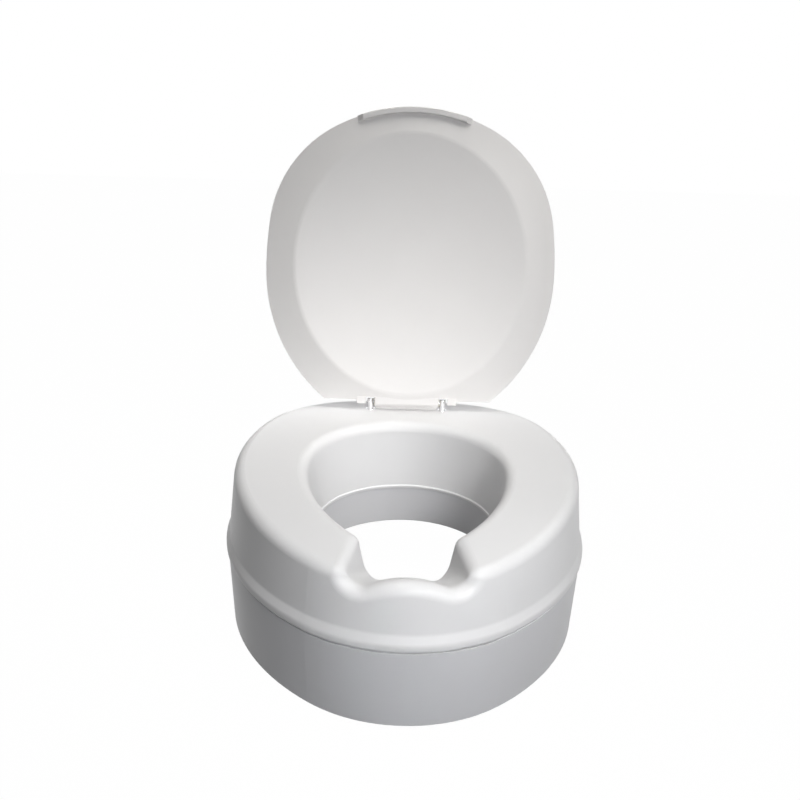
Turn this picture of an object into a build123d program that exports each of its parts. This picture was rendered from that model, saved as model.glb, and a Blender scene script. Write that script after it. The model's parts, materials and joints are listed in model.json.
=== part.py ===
from build123d import *
from math import atan2, cos, degrees, hypot, radians, sin, sqrt, tan
import os

# Raised toilet seat with a hinged lid. Millimetres, +Z up, front towards -Y.
# Every size below is in the body datum: X = 0 is the plane of symmetry, Z = 0 is the foot
# of the skirt, and Y is measured from the line that joins the aperture's two widest points,
# plus APERTURE_Y. The finished parts are moved along Y so that the origin is at the centre
# of the whole object's footprint.

# ---------------------------------------------------------------- body outline (plan view)
HALF_WIDTH = 200.0          # to the widest line of the bead
FRONT_REACH = 242.0         # datum to the front of the bead
REAR_REACH = 194.0          # datum to the straight back edge of the bead
FRONT_RADIUS = 156.5
SIDE_RADIUS = 271.0
REAR_RADIUS = 142.0

# ---------------------------------------------------------------- heights
BODY_HEIGHT = 179.0         # top of the seat, at the hinge
SEAT_FALL = 16.0            # drop of the top from the hinge to SEAT_FALL_Y
SEAT_FALL_Y = -150.0
JOINT_HEIGHT = 83.0         # where the seat shell sits over the skirt
WEB_HEIGHT = 70.0           # underside of the web that rests on the bowl
INNER_JOINT_HEIGHT = 98.0   # where the two inner walls meet
SPLASH_HEIGHT = 53.0        # lower edge of the splash wall

# ---------------------------------------------------------------- walls
SHELL_WALL = 4.0
SKIRT_WALL = 4.0
WEB_WALL = 4.0
JOINT_GAP = 0.3             # shadow line between the two mouldings
SPIGOT_WALL = 3.0
FIT_GAP = 0.4               # between a spigot and the wall that it locates

# ---------------------------------------------------------------- outer wall section
BEAD_LAND = 9.0             # upright part of the bead above the joint
BEAD_SHOULDER = 9.0         # height over which the bead runs back into the wall
BEAD_STEP = 4.0             # how far the bead stands out
SHELL_DRAFT = 5.7           # degrees, wall above the bead
SKIRT_DRAFT = 3.0           # degrees, wall below the bead
SKIRT_STEP = 2.0            # skirt behind the bead
TOP_EDGE_RADIUS = 12.0
BEAD_RADIUS = 8.0
BEAD_FILLET = 9.0
BEAD_LIP_RADIUS = 4.5
FOOT_CHAMFER = 1.2
SPLASH_EDGE_RADIUS = 1.7

# ---------------------------------------------------------------- aperture
APERTURE_HALF_WIDTH = 110.0
APERTURE_Y = -12.0          # Y of the widest line
APERTURE_SIDE_RADIUS = 205.0
APERTURE_NOSE_RADIUS = 62.0
APERTURE_EDGE_RADIUS = 12.0
APERTURE_TAPER = 9.8        # how far the inner wall leans in over its height
DRIP_STEP = 1.2             # rim that ends the inner wall
DRIP_HEIGHT = 3.0
SPLASH_SETBACK = 1.8        # splash wall behind the drip rim

# ---------------------------------------------------------------- front recess
RECESS_HALF_WIDTH = 51.2    # at RECESS_GAUGE_Y, at the level of the seat
RECESS_GAUGE_Y = -160.0
RECESS_FLARE = 12.5         # degrees, each side wall, in plan
RECESS_DRAFT = 11.8         # degrees, each side wall, upright
RECESS_INNER_Y = -125.0
RECESS_OUTER_Y = -270.0
RECESS_CREST_Y = -217.0     # gauge line of the floor's height
RECESS_CREST_Z = 148.2
RECESS_FALL = 29.0          # degrees, floor down towards the aperture
RECESS_CROWN_RADIUS = 105.0  # floor across its width
RECESS_CORNER_RADIUS = 16.0
RECESS_EDGE_RADIUS = 12.0
RECESS_WALL = 7.0
LIP_CORE_BACK = -216.0      # solid core behind the front lip
LIP_CORE_LOW = 130.0

# ---------------------------------------------------------------- shell screws
SCREW_INSET = 20.0          # screw circle inside the body outline
SCREW_HEAD_RADIUS = 4.75
SCREW_HEAD_HEIGHT = 3.4
SCREW_RADIUS = 2.3
SCREW_LENGTH = 32.0
SCREW_SINK = 4.6            # depth of the head's counterbore
SCREW_CLEARANCE = 0.4
THREAD_CLEARANCE = 0.02
BOSS_RADIUS = 6.0
BOSS_BASE_RADIUS = 8.0
BOSS_SEAT_HEIGHT = 80.0     # where the two bosses meet
RIB_WALL = 2.5
RIB_FOOT = 20.0             # rib ends this far above the boss seat

# ---------------------------------------------------------------- skirt cut-out at the back
CUTOUT_HALF_WIDTH = 118.0
CUTOUT_HEIGHT = 60.0
CUTOUT_RADIUS = 18.0

# ---------------------------------------------------------------- rubber pads on the bowl rim
PAD_THICKNESS = 6.0
PAD_INSET = 29.0
PAD_WIDTH = 22.0
PAD_CHAMFER = 1.0
PAD_GROOVE = 1.2            # depth of the grip grooves
PAD_GROOVES = 3

# ---------------------------------------------------------------- centring brackets
BRACKET_SETBACK = 6.0       # leg outside the aperture line, fully home
BRACKET_REACH = 40.0
BRACKET_WIDTH = 26.0
BRACKET_WALL = 3.5
BRACKET_DROP = 26.0
BRACKET_TRAVEL = 18.0
BRACKET_RADIUS = 4.0        # rounded corners of the arm
BRACKET_BEND = 3.0
SLIDE_GAP = 0.2
FACE_THICKNESS = 3.0
FACE_MARGIN = 2.0
CLAMP_SETBACK = 32.0        # clamp screw from the leg's back
CLAMP_HEAD_RADIUS = 5.0
CLAMP_HEAD_HEIGHT = 1.7
CLAMP_RADIUS = 2.5
CLAMP_CLEARANCE = 0.3
CLAMP_NUT_FLATS = 8.0
CLAMP_NUT_HEIGHT = 4.0
GUIDE_WALL = 2.0
GUIDE_HEIGHT = 3.0
GUIDE_GAP = 0.4

# ---------------------------------------------------------------- hinge
HINGE_Y = REAR_REACH - 48.0
HINGE_RISE = 9.5            # hinge line above the seat
POST_SPREAD = 45.0          # half the distance between the posts
POST_RADIUS = 4.0
POST_CAP = 5.2              # post above the hinge line
POST_DOME = 3.4
FLANGE_RADIUS = 5.5
FLANGE_HEIGHT = 1.2
STUD_RADIUS = 3.0
STUD_CLEARANCE = 0.2
STUD_TAIL = 2.5             # stud below its nut
HINGE_BOSS_RADIUS = 11.0
HINGE_BOSS_HEIGHT = 4.0
WASHER_RADIUS = 7.0
WASHER_HEIGHT = 1.2
NUT_FLATS = 10.0
NUT_HEIGHT = 5.0
PIN_RADIUS = 2.5
PIN_CLEARANCE = 0.05        # running fit in the bushes
PRESS_CLEARANCE = 0.02
PIN_OVERHANG = 0.4          # pin past the post's side
BUSH_WALL = 1.5
BUSH_LENGTH = 14.0
BUSH_FLANGE = 1.2
BUSH_FLANGE_RADIUS = 5.4
SIDE_PLAY = 0.6             # bush flange to post

# ---------------------------------------------------------------- lid
LID_OPEN_ANGLE = 98.0       # from lying on the seat to standing open
LID_HALF_WIDTH = 175.0
LID_REACH = 354.0           # hinge line to the front edge
LID_WIDEST = 158.0          # hinge line to the widest line
LID_FRONT_RADIUS = 199.0
LID_CORNER_RADIUS = 147.0
LID_SIDE_RADIUS = 443.0
LID_REAR_RADIUS = 202.5
LID_BACK_EDGE = 3.0         # hinge line to the straight back edge
LID_REST_GAP = 0.4          # ridge above the seat when closed
LID_EDGE_WALL = 4.0
LID_CROWN = 4.5             # rise of the top face
LID_CROWN_STRETCH = 1.15    # length of the crown over its width
LID_EDGE_RADIUS = 1.6
RIDGE_HALF_WIDTH = 140.5
RIDGE_HALF_LENGTH = 157.5
RIDGE_CENTRE = 168.5        # from the hinge line
RIDGE_SOFTNESS = 15.0
RIM_SLOPE = 9.3             # degrees, rim outside the ridge
DISH_DEPTH = 9.0
LIP_HALF_WIDTH = 68.0
LIP_WALL = 7.0
LIP_DROP = 7.0              # lip below the rim's lower edge
LIP_PROUD = 1.0
LIP_END_SLOPE = 7.0         # how far each end leans in over the lip's drop
LIP_EDGE_RADIUS = 1.4
KNUCKLE_RADIUS = 6.0
KNUCKLE_FAIRING = 20.0
TONGUE_HALF_WIDTH = 62.0
TONGUE_REACH = 1.0          # tongue past the hinge line
POST_SLOT_GAP = 1.8         # slot in the lid round each post
HEEL_DEPTH = 7.0
HEEL_SETBACK = 1.6          # heel inside the knuckle's ends
HEEL_GAP = 0.3              # heel above the seat when the lid is open

# ---------------------------------------------------------------- derived sizes
SPIGOT_RISE = BEAD_LAND - 0.4
HINGE_Z = BODY_HEIGHT + HINGE_RISE
SHELL_SHOULDER = JOINT_HEIGHT + BEAD_LAND + BEAD_SHOULDER
TOP_INSET = BEAD_STEP + (BODY_HEIGHT - SHELL_SHOULDER) * tan(radians(SHELL_DRAFT))
SKIRT_TOP = JOINT_HEIGHT - JOINT_GAP
FOOT_INSET = SKIRT_STEP + SKIRT_TOP * tan(radians(SKIRT_DRAFT))
OUTER_BAND = TOP_INSET + TOP_EDGE_RADIUS + 6.0
INNER_BAND = APERTURE_EDGE_RADIUS + 6.0
BAND_LAP = 4.0
SPLASH_OFFSET = -(APERTURE_TAPER + DRIP_STEP - SPLASH_SETBACK)
BUSH_RADIUS = PIN_RADIUS + PIN_CLEARANCE + BUSH_WALL
KNUCKLE_END = POST_SPREAD - POST_RADIUS - SIDE_PLAY - BUSH_FLANGE
RIDGE_W = -HINGE_RISE + LID_REST_GAP
RIM_EDGE_W = RIDGE_W + (LID_HALF_WIDTH - RIDGE_HALF_WIDTH) * tan(radians(RIM_SLOPE))
CLOSED_TO_OPEN = -LID_OPEN_ANGLE

SHELL_SCREWS = (("front", -42.0), ("side", -10.0), ("rear", 30.0), ("rear", 75.0))
RIM_PADS = (("front", "front", -80.0, -52.0), ("side", "side", -14.0, -1.0), ("rear", "rear", 58.0, 86.0))
BRACKETS = (("front", "side", -25.0), ("rear", "rear", 20.0))
SIDES = (("left", -1.0), ("right", 1.0))


# ================================================================ outlines
def body_arcs():
    """Right half of the body outline as named arcs: centre, radius, start and end angle."""
    front_y = -FRONT_REACH + FRONT_RADIUS
    side_x = HALF_WIDTH - SIDE_RADIUS
    side_y = front_y + sqrt((SIDE_RADIUS - FRONT_RADIUS) ** 2 - side_x ** 2)
    rear_y = REAR_REACH - REAR_RADIUS
    rear_x = side_x + sqrt((SIDE_RADIUS - REAR_RADIUS) ** 2 - (side_y - rear_y) ** 2)
    front_end = degrees(atan2(front_y - side_y, -side_x))
    side_end = degrees(atan2(rear_y - side_y, rear_x - side_x))
    return {
        "front": ((0.0, front_y), FRONT_RADIUS, -90.0, front_end),
        "side": ((side_x, side_y), SIDE_RADIUS, front_end, side_end),
        "rear": ((rear_x, rear_y), REAR_RADIUS, side_end, 90.0),
    }


def aperture_arcs():
    """Right half of the aperture outline, from its nose to the back."""
    side_x = APERTURE_SIDE_RADIUS - APERTURE_HALF_WIDTH
    nose_drop = sqrt((APERTURE_SIDE_RADIUS - APERTURE_NOSE_RADIUS) ** 2 - side_x ** 2)
    turn = -degrees(atan2(nose_drop, side_x))
    return {
        "nose": ((0.0, APERTURE_Y - nose_drop), APERTURE_NOSE_RADIUS, -90.0, turn),
        "side": ((-side_x, APERTURE_Y), APERTURE_SIDE_RADIUS, turn, 0.0),
        "rear": ((0.0, APERTURE_Y), APERTURE_HALF_WIDTH, 0.0, 90.0),
    }


def lid_arcs():
    """Right half of the lid outline in the closed lid's own plane, front first."""
    front = (0.0, LID_REACH - LID_FRONT_RADIUS)
    side = (LID_HALF_WIDTH - LID_SIDE_RADIUS, LID_WIDEST)
    rear_x = LID_HALF_WIDTH - LID_REAR_RADIUS
    dx, dy = side[0] - front[0], side[1] - front[1]
    span = hypot(dx, dy)
    to_front = LID_FRONT_RADIUS - LID_CORNER_RADIUS
    to_side = LID_SIDE_RADIUS - LID_CORNER_RADIUS
    along = (to_front ** 2 - to_side ** 2 + span ** 2) / (2 * span)
    across = sqrt(to_front ** 2 - along ** 2)
    corner = (front[0] + dx * along / span + dy * across / span,
              front[1] + dy * along / span - dx * across / span)
    front_end = degrees(atan2(corner[1] - front[1], corner[0] - front[0]))
    corner_end = degrees(atan2(corner[1] - side[1], corner[0] - side[0]))
    rear_end = -degrees(atan2(LID_WIDEST - LID_BACK_EDGE,
                              sqrt(LID_REAR_RADIUS ** 2 - (LID_WIDEST - LID_BACK_EDGE) ** 2)))
    return {
        "front": (front, LID_FRONT_RADIUS, 90.0, front_end),
        "corner": (corner, LID_CORNER_RADIUS, front_end, corner_end),
        "side": (side, LID_SIDE_RADIUS, corner_end, 0.0),
        "rear": ((rear_x, LID_WIDEST), LID_REAR_RADIUS, 0.0, rear_end),
    }


def both_halves(arcs):
    """Mirror a right half about X = 0."""
    right = list(arcs.values())
    left = [((-c[0], c[1]), r, 180.0 - end, 180.0 - start) for c, r, start, end in right]
    return right + left


def on_arc(arc, angle, offset=0.0):
    """Point at an angle on an arc, moved outwards by an offset."""
    (x, y), radius, _, _ = arc
    return x + (radius + offset) * cos(radians(angle)), y + (radius + offset) * sin(radians(angle))


def outline_face(arcs, offset=0.0, height=0.0):
    """Flat face inside an outline that is moved outwards by an offset."""
    edges = [CenterArc((c[0], c[1], 0), r + offset, start, end - start)
             for c, r, start, end in both_halves(arcs)]
    last = list(arcs.values())[-1]
    x, y = on_arc(last, last[3], offset)
    if x > 0.01:
        edges.append(Line((x, y, 0), (-x, y, 0)))
    return Pos(0, 0, height) * make_face(edges)


def plate(arcs, offset, low, high):
    """Upright plate with the shape of an outline."""
    return extrude(outline_face(arcs, offset, low), high - low)


def swept_band(section, arcs, names=None, limits=None):
    """Carry a section (outward offset, height) round an outline, one arc at a time."""
    pieces = []
    for (cx, cy), radius, start, end in both_halves(arcs):
        heading = radians(start)
        out = (cos(heading), sin(heading), 0)
        plane = Plane(origin=(cx, cy, 0), x_dir=out, z_dir=(out[1], -out[0], 0))
        pieces.append(revolve(plane * (Pos(radius, 0) * section), Axis((cx, cy, 0), (0, 0, 1)), end - start))
    last = list(arcs.values())[-1]
    x, y = on_arc(last, last[3])
    if x > 0.01:
        plane = Plane(origin=(x, y, 0), x_dir=(0, 1, 0), z_dir=(1, 0, 0))
        pieces.append(extrude(plane * section, -2 * x))
    return pieces


def section_of(corners):
    """Closed section from (offset, height, corner radius) rows."""
    points = [(offset, height) for offset, height, _ in corners]
    return make_face(FilletPolyline(*points, radius=[r for _, _, r in corners], close=True))


def joined(*solids):
    """One solid from many."""
    flat = [s for group in solids for s in (group if isinstance(group, (list, tuple)) else [group])]
    return flat[0].fuse(*flat[1:]).clean()


# ================================================================ front recess
def recess_section(y, grow):
    """Upright section of the recess between its two leaning side walls."""
    head, foot = 30.0, 130.0
    lean = tan(radians(RECESS_DRAFT))
    half = RECESS_HALF_WIDTH + (RECESS_GAUGE_Y - y) * tan(radians(RECESS_FLARE)) + grow
    points = [(-half - head * lean, head), (-half + foot * lean, -foot), (half - foot * lean, -foot),
              (half + head * lean, head)]
    plane = Plane(origin=(0, y, BODY_HEIGHT), x_dir=(1, 0, 0), z_dir=(0, -1, 0))
    return plane * make_face(Polyline(*points, close=True))


def recess_cutter(grow=0.0):
    """Tool that opens the front of the seat; grow gives the wall behind it."""
    wedge = loft([recess_section(RECESS_INNER_Y, grow), recess_section(RECESS_OUTER_Y, grow)], ruled=True)
    floor = Pos(0, RECESS_CREST_Y, RECESS_CREST_Z) * Rot(X=90 - RECESS_FALL) * Pos(
        0, -RECESS_CROWN_RADIUS, 0) * Cylinder(RECESS_CROWN_RADIUS - grow, 400)
    cutter = (wedge - floor).solids().sort_by(Axis.Z)[-1]
    corners = [e for e in cutter.edges() if e.geom_type != GeomType.LINE and abs((e @ 0.5).X) > 20]
    return fillet(corners, RECESS_CORNER_RADIUS + grow)


# ================================================================ seat shell
def ring_solid(outer_corners, inner_corners, low, high):
    """Solid ring between an outer section and an inner section, filled by a plate."""
    body, hole = body_arcs(), aperture_arcs()
    filler = plate(body, -(OUTER_BAND - BAND_LAP), low, high) - plate(hole, INNER_BAND - BAND_LAP, low, high)
    return joined(swept_band(section_of(outer_corners), body), filler,
                  swept_band(section_of(inner_corners), hole))


def seat_top(drop=0.0):
    """Tool that keeps what lies under the seat's falling top, or under its underside by a drop."""
    run = HINGE_Y - SEAT_FALL_Y
    radius = (run ** 2 + SEAT_FALL ** 2) / (2 * SEAT_FALL)
    return Pos(0, HINGE_Y, BODY_HEIGHT - radius) * Rot(Y=90) * Cylinder(radius - drop, 4 * HALF_WIDTH)


def top_edges(solid, drop=0.0):
    """Edges that bound the falling top."""
    skin = seat_top(drop).faces().filter_by(GeomType.CYLINDER)[0]
    edges = [e for e in solid.edges() if (e @ 0.5).Z > BODY_HEIGHT - 2 * SEAT_FALL - 12]
    return [e for e in edges if all(skin.distance_to(Vertex(*(e @ t))) < 0.01 for t in (0.2, 0.5, 0.8))]


def round_aperture(edges):
    """Those edges that run round the aperture and not round the body."""
    zone = plate(aperture_arcs(), INNER_BAND - BAND_LAP, 0, BODY_HEIGHT + 1)
    return [e for e in edges if zone.is_inside(e @ 0.5)]


def softened_top(solid, drop=0.0):
    """Solid with its falling top rounded, first round the body and then round the aperture."""
    edges = top_edges(solid, drop)
    inner = round_aperture(edges)
    solid = solid.fillet(TOP_EDGE_RADIUS - drop, [e for e in edges if e not in inner])
    return solid.fillet(APERTURE_EDGE_RADIUS - drop, round_aperture(top_edges(solid, drop)))


def shell_envelope():
    """Seat shell as a solid block, before the recess and the hollow."""
    outer = [(-OUTER_BAND, BODY_HEIGHT, 0), (-TOP_INSET, BODY_HEIGHT, 0),
             (-BEAD_STEP, SHELL_SHOULDER, BEAD_FILLET), (0, JOINT_HEIGHT + BEAD_LAND, BEAD_RADIUS),
             (0, JOINT_HEIGHT, BEAD_LIP_RADIUS), (-OUTER_BAND, JOINT_HEIGHT, 0)]
    drip = -(APERTURE_TAPER + DRIP_STEP)
    inner = [(INNER_BAND, BODY_HEIGHT, 0), (0, BODY_HEIGHT, 0),
             (-APERTURE_TAPER, INNER_JOINT_HEIGHT + DRIP_HEIGHT + DRIP_STEP, 0.6),
             (drip, INNER_JOINT_HEIGHT + DRIP_HEIGHT, 0.6), (drip, INNER_JOINT_HEIGHT, 0.8),
             (INNER_BAND, INNER_JOINT_HEIGHT, 0)]
    return softened_top(ring_solid(outer, inner, JOINT_HEIGHT, BODY_HEIGHT) & seat_top())


def shell_hollow():
    """Space inside the seat shell, open at the bottom."""
    ceiling = BODY_HEIGHT - SHELL_WALL
    below = JOINT_HEIGHT - 1.0
    outer = [(-OUTER_BAND, ceiling, 0), (-TOP_INSET - SHELL_WALL, ceiling, 0),
             (-BEAD_STEP - SHELL_WALL, SHELL_SHOULDER, 0), (-SHELL_WALL, JOINT_HEIGHT + BEAD_LAND, 0),
             (-SHELL_WALL, below, 0), (-OUTER_BAND, below, 0)]
    inner_low = INNER_JOINT_HEIGHT - 1.0
    inner = [(INNER_BAND, ceiling, 0), (SHELL_WALL, ceiling, 0),
             (-APERTURE_TAPER - DRIP_STEP + SHELL_WALL, INNER_JOINT_HEIGHT, 0),
             (-APERTURE_TAPER - DRIP_STEP + SHELL_WALL, inner_low, 0), (INNER_BAND, inner_low, 0)]
    return softened_top(ring_solid(outer, inner, below, ceiling) & seat_top(SHELL_WALL), SHELL_WALL)


def recess_rim(solid, envelope, cutter):
    """Edges where the recess breaks the outside of the seat."""
    skin, walls = envelope.shells()[0], cutter.shells()[0]
    rim = []
    for edge in solid.edges().filter_by(lambda e: (e @ 0.5).Y < RECESS_INNER_Y + 10):
        marks = [Vertex(*(edge @ t)) for t in (0.2, 0.5, 0.8)]
        if all(walls.distance_to(m) < 0.01 and skin.distance_to(m) < 0.01 for m in marks):
            rim.append(edge)
    return rim


def screw_places():
    """Centres of the shell screws, with the outward direction at each."""
    arcs = body_arcs()
    places = []
    for name, angle in SHELL_SCREWS:
        x, y = on_arc(arcs[name], angle, -SCREW_INSET)
        places += [(x, y, angle), (-x, y, 180.0 - angle)]
    return places


def shell_bosses(envelope):
    """Columns that take the shell screws, each with a rib to the outer wall."""
    columns = []
    for x, y, heading in screw_places():
        columns.append(Pos(x, y, BOSS_SEAT_HEIGHT) * Cylinder(
            BOSS_RADIUS, BODY_HEIGHT - BOSS_SEAT_HEIGHT, align=(Align.CENTER, Align.CENTER, Align.MIN)))
        foot = BOSS_SEAT_HEIGHT + RIB_FOOT
        rib = Pos(x, y, foot) * Rot(Z=heading) * Box(
            SCREW_INSET, RIB_WALL, BODY_HEIGHT - foot, align=(Align.MIN, Align.CENTER, Align.MIN))
        columns.append(rib & envelope)
    for _, side in SIDES:
        columns.append(Pos(side * POST_SPREAD, HINGE_Y, BODY_HEIGHT - SHELL_WALL - HINGE_BOSS_HEIGHT) * Cylinder(
            HINGE_BOSS_RADIUS, HINGE_BOSS_HEIGHT + 1, align=(Align.CENTER, Align.CENTER, Align.MIN)))
    return columns


def make_seat_shell():
    """Upper moulding: the seat, its outer wall with the bead, and the upper inner wall."""
    envelope = shell_envelope()
    cutter = recess_cutter()
    block = envelope - cutter
    block = block.fillet(RECESS_EDGE_RADIUS, recess_rim(block, envelope, cutter))
    core = Pos(0, LIP_CORE_BACK, LIP_CORE_LOW) * Box(
        3 * RECESS_HALF_WIDTH, 40, BODY_HEIGHT, align=(Align.CENTER, Align.MAX, Align.MIN))
    hollow = shell_hollow() - recess_cutter(RECESS_WALL) - core
    shell = joined(block - hollow, [c & envelope for c in shell_bosses(envelope)])
    holes = [Pos(x, y, BOSS_SEAT_HEIGHT - 1) * Cylinder(
        SCREW_RADIUS + THREAD_CLEARANCE, SCREW_LENGTH, align=(Align.CENTER, Align.CENTER, Align.MIN))
        for x, y, _ in screw_places()]
    holes += [Pos(side * POST_SPREAD, HINGE_Y, BODY_HEIGHT) * Cylinder(
        STUD_RADIUS + STUD_CLEARANCE, 40) for _, side in SIDES]
    return shell - holes


# ================================================================ skirt
def bracket_places():
    """Each bracket: name, place on the aperture outline, outward heading."""
    arcs = aperture_arcs()
    places = []
    for row, name, angle in BRACKETS:
        x, y = on_arc(arcs[name], angle)
        places += [(f"{row}_left", -x, y, 180.0 - angle), (f"{row}_right", x, y, angle)]
    return places


def radial(x, y, heading, along, height, across=0.0):
    """Location measured outwards from a place on the aperture outline."""
    return Pos(x, y, height) * Rot(Z=heading) * Pos(along, across, 0)


def skirt_walls():
    """Outer skirt with its spigot, web, and inner splash wall with its spigot."""
    spigot_out = -(SHELL_WALL + FIT_GAP)
    foot_back = -FOOT_INSET - SKIRT_WALL
    outer = [(-SKIRT_STEP, SKIRT_TOP, 0.8), (-FOOT_INSET, FOOT_CHAMFER, 0), (-FOOT_INSET - FOOT_CHAMFER, 0, 0),
             (foot_back + FOOT_CHAMFER, 0, 0), (foot_back, FOOT_CHAMFER, 0),
             (-SKIRT_STEP - SKIRT_WALL, SKIRT_TOP - 12, 0), (spigot_out - SPIGOT_WALL, SKIRT_TOP - 6, 0),
             (spigot_out - SPIGOT_WALL, SKIRT_TOP + SPIGOT_RISE, 0.6),
             (spigot_out, SKIRT_TOP + SPIGOT_RISE, 0.6), (spigot_out, SKIRT_TOP, 0)]
    face, back = SPLASH_OFFSET, SPLASH_OFFSET + SKIRT_WALL
    step = INNER_JOINT_HEIGHT - JOINT_GAP
    lean = (APERTURE_TAPER + DRIP_STEP) / (BODY_HEIGHT - INNER_JOINT_HEIGHT)
    spigot_in = -APERTURE_TAPER - DRIP_STEP + SHELL_WALL + FIT_GAP + SPIGOT_RISE / 2 * lean
    inner = [(face, SPLASH_HEIGHT, SPLASH_EDGE_RADIUS), (face, step, 0), (spigot_in, step, 0),
             (spigot_in, step + SPIGOT_RISE / 2, 0.6), (spigot_in + SPIGOT_WALL, step + SPIGOT_RISE / 2, 0.6),
             (spigot_in + SPIGOT_WALL, step - 6, 0), (back, step - 12, 0), (back, SPLASH_HEIGHT, SPLASH_EDGE_RADIUS)]
    body, hole = body_arcs(), aperture_arcs()
    web = plate(body, -SKIRT_STEP - SKIRT_WALL + 1, WEB_HEIGHT, WEB_HEIGHT + WEB_WALL) - plate(
        hole, back - 1, WEB_HEIGHT, WEB_HEIGHT + WEB_WALL)
    return joined(swept_band(section_of(outer), body), web, swept_band(section_of(inner), hole))


def skirt_cutout():
    """Opening in the back of the skirt, where the bowl's ledge passes."""
    profile = Pos(0, CUTOUT_HEIGHT / 2 - 20) * RectangleRounded(
        2 * CUTOUT_HALF_WIDTH, CUTOUT_HEIGHT + 40, CUTOUT_RADIUS)
    plane = Plane(origin=(0, REAR_REACH + 20, 0), x_dir=(-1, 0, 0), z_dir=(0, 1, 0))
    return extrude(plane * profile, -(REAR_REACH + 20 - APERTURE_Y - APERTURE_HALF_WIDTH - 10))


def make_lower_skirt():
    """Lower moulding: skirt, web with its bosses and guides, and the splash wall."""
    web_top = WEB_HEIGHT + WEB_WALL
    up = (Align.CENTER, Align.CENTER, Align.MIN)
    added, cut = [], [skirt_cutout()]
    for x, y, _ in screw_places():
        added.append(Pos(x, y, web_top - 1) * Cylinder(BOSS_BASE_RADIUS, BOSS_SEAT_HEIGHT - web_top + 1, align=up))
        cut.append(Pos(x, y, WEB_HEIGHT - 1) * Cylinder(SCREW_HEAD_RADIUS + SCREW_CLEARANCE, SCREW_SINK + 1, align=up))
        cut.append(Pos(x, y, WEB_HEIGHT - 1) * Cylinder(SCREW_RADIUS + SCREW_CLEARANCE, 20, align=up))
    clamp = BRACKET_SETBACK + CLAMP_SETBACK
    for _, x, y, heading in bracket_places():
        for across in (-1, 1):
            offset = across * (BRACKET_WIDTH / 2 + GUIDE_GAP + GUIDE_WALL / 2)
            middle = BRACKET_SETBACK + BRACKET_REACH / 2
            added.append(radial(x, y, heading, middle, WEB_HEIGHT - GUIDE_HEIGHT, offset) * Box(
                BRACKET_REACH / 2, GUIDE_WALL, GUIDE_HEIGHT + 1, align=up))
        cut.append(radial(x, y, heading, clamp, WEB_HEIGHT - 1) * Cylinder(
            CLAMP_RADIUS + CLAMP_CLEARANCE, WEB_WALL + 2, align=up))
    return joined(skirt_walls(), added) - cut


# ================================================================ fasteners
def hexagon(flats):
    """Regular hexagon across flats."""
    return RegularPolygon(flats / 2, 6, major_radius=False)


def make_shell_screws():
    """Pan-head screws that hold the two mouldings together, driven from below."""
    screws = []
    seat = WEB_HEIGHT + SCREW_SINK
    up = (Align.CENTER, Align.CENTER, Align.MIN)
    for x, y, _ in screw_places():
        head = Cylinder(SCREW_HEAD_RADIUS, SCREW_HEAD_HEIGHT, align=up)
        head = fillet(head.edges().group_by(Axis.Z)[0], 1.2)
        drive = Pos(0, 0, -0.1) * Box(6, 1.2, 1.6, align=up)
        cross = Rot(Z=90) * drive
        shank = Pos(0, 0, SCREW_HEAD_HEIGHT) * Cylinder(SCREW_RADIUS, SCREW_LENGTH - SCREW_HEAD_HEIGHT, align=up)
        tip = chamfer(shank.edges().group_by(Axis.Z)[-1], 1.0)
        screws.append(Pos(x, y, seat - SCREW_HEAD_HEIGHT) * joined(head - drive - cross, tip))
    return screws


def make_bracket_screws():
    """Low-head screws that clamp the centring brackets to the web."""
    up = (Align.CENTER, Align.CENTER, Align.MIN)
    arm_low = WEB_HEIGHT - SLIDE_GAP - BRACKET_WALL
    head_top = arm_low - 0.1
    length = WEB_HEIGHT + WEB_WALL + CLAMP_NUT_HEIGHT + 2.0 - head_top
    screws = []
    for _, x, y, heading in bracket_places():
        head = Pos(0, 0, head_top - CLAMP_HEAD_HEIGHT) * Cylinder(CLAMP_HEAD_RADIUS, CLAMP_HEAD_HEIGHT, align=up)
        slot = Pos(0, 0, head_top - CLAMP_HEAD_HEIGHT - 0.1) * Box(2 * CLAMP_HEAD_RADIUS + 1, 1.4, 0.9, align=up)
        shank = Pos(0, 0, head_top) * Cylinder(CLAMP_RADIUS, length, align=up)
        place = radial(x, y, heading, BRACKET_SETBACK + CLAMP_SETBACK, 0)
        screws.append(place * joined(head - slot, shank))
    return screws


def make_bracket_nuts():
    """Nuts on top of the web."""
    nuts = []
    for _, x, y, heading in bracket_places():
        nut = extrude(hexagon(CLAMP_NUT_FLATS) - Circle(CLAMP_RADIUS + THREAD_CLEARANCE), CLAMP_NUT_HEIGHT)
        nuts.append(radial(x, y, heading, BRACKET_SETBACK + CLAMP_SETBACK, WEB_HEIGHT + WEB_WALL) * nut)
    return nuts


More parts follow.
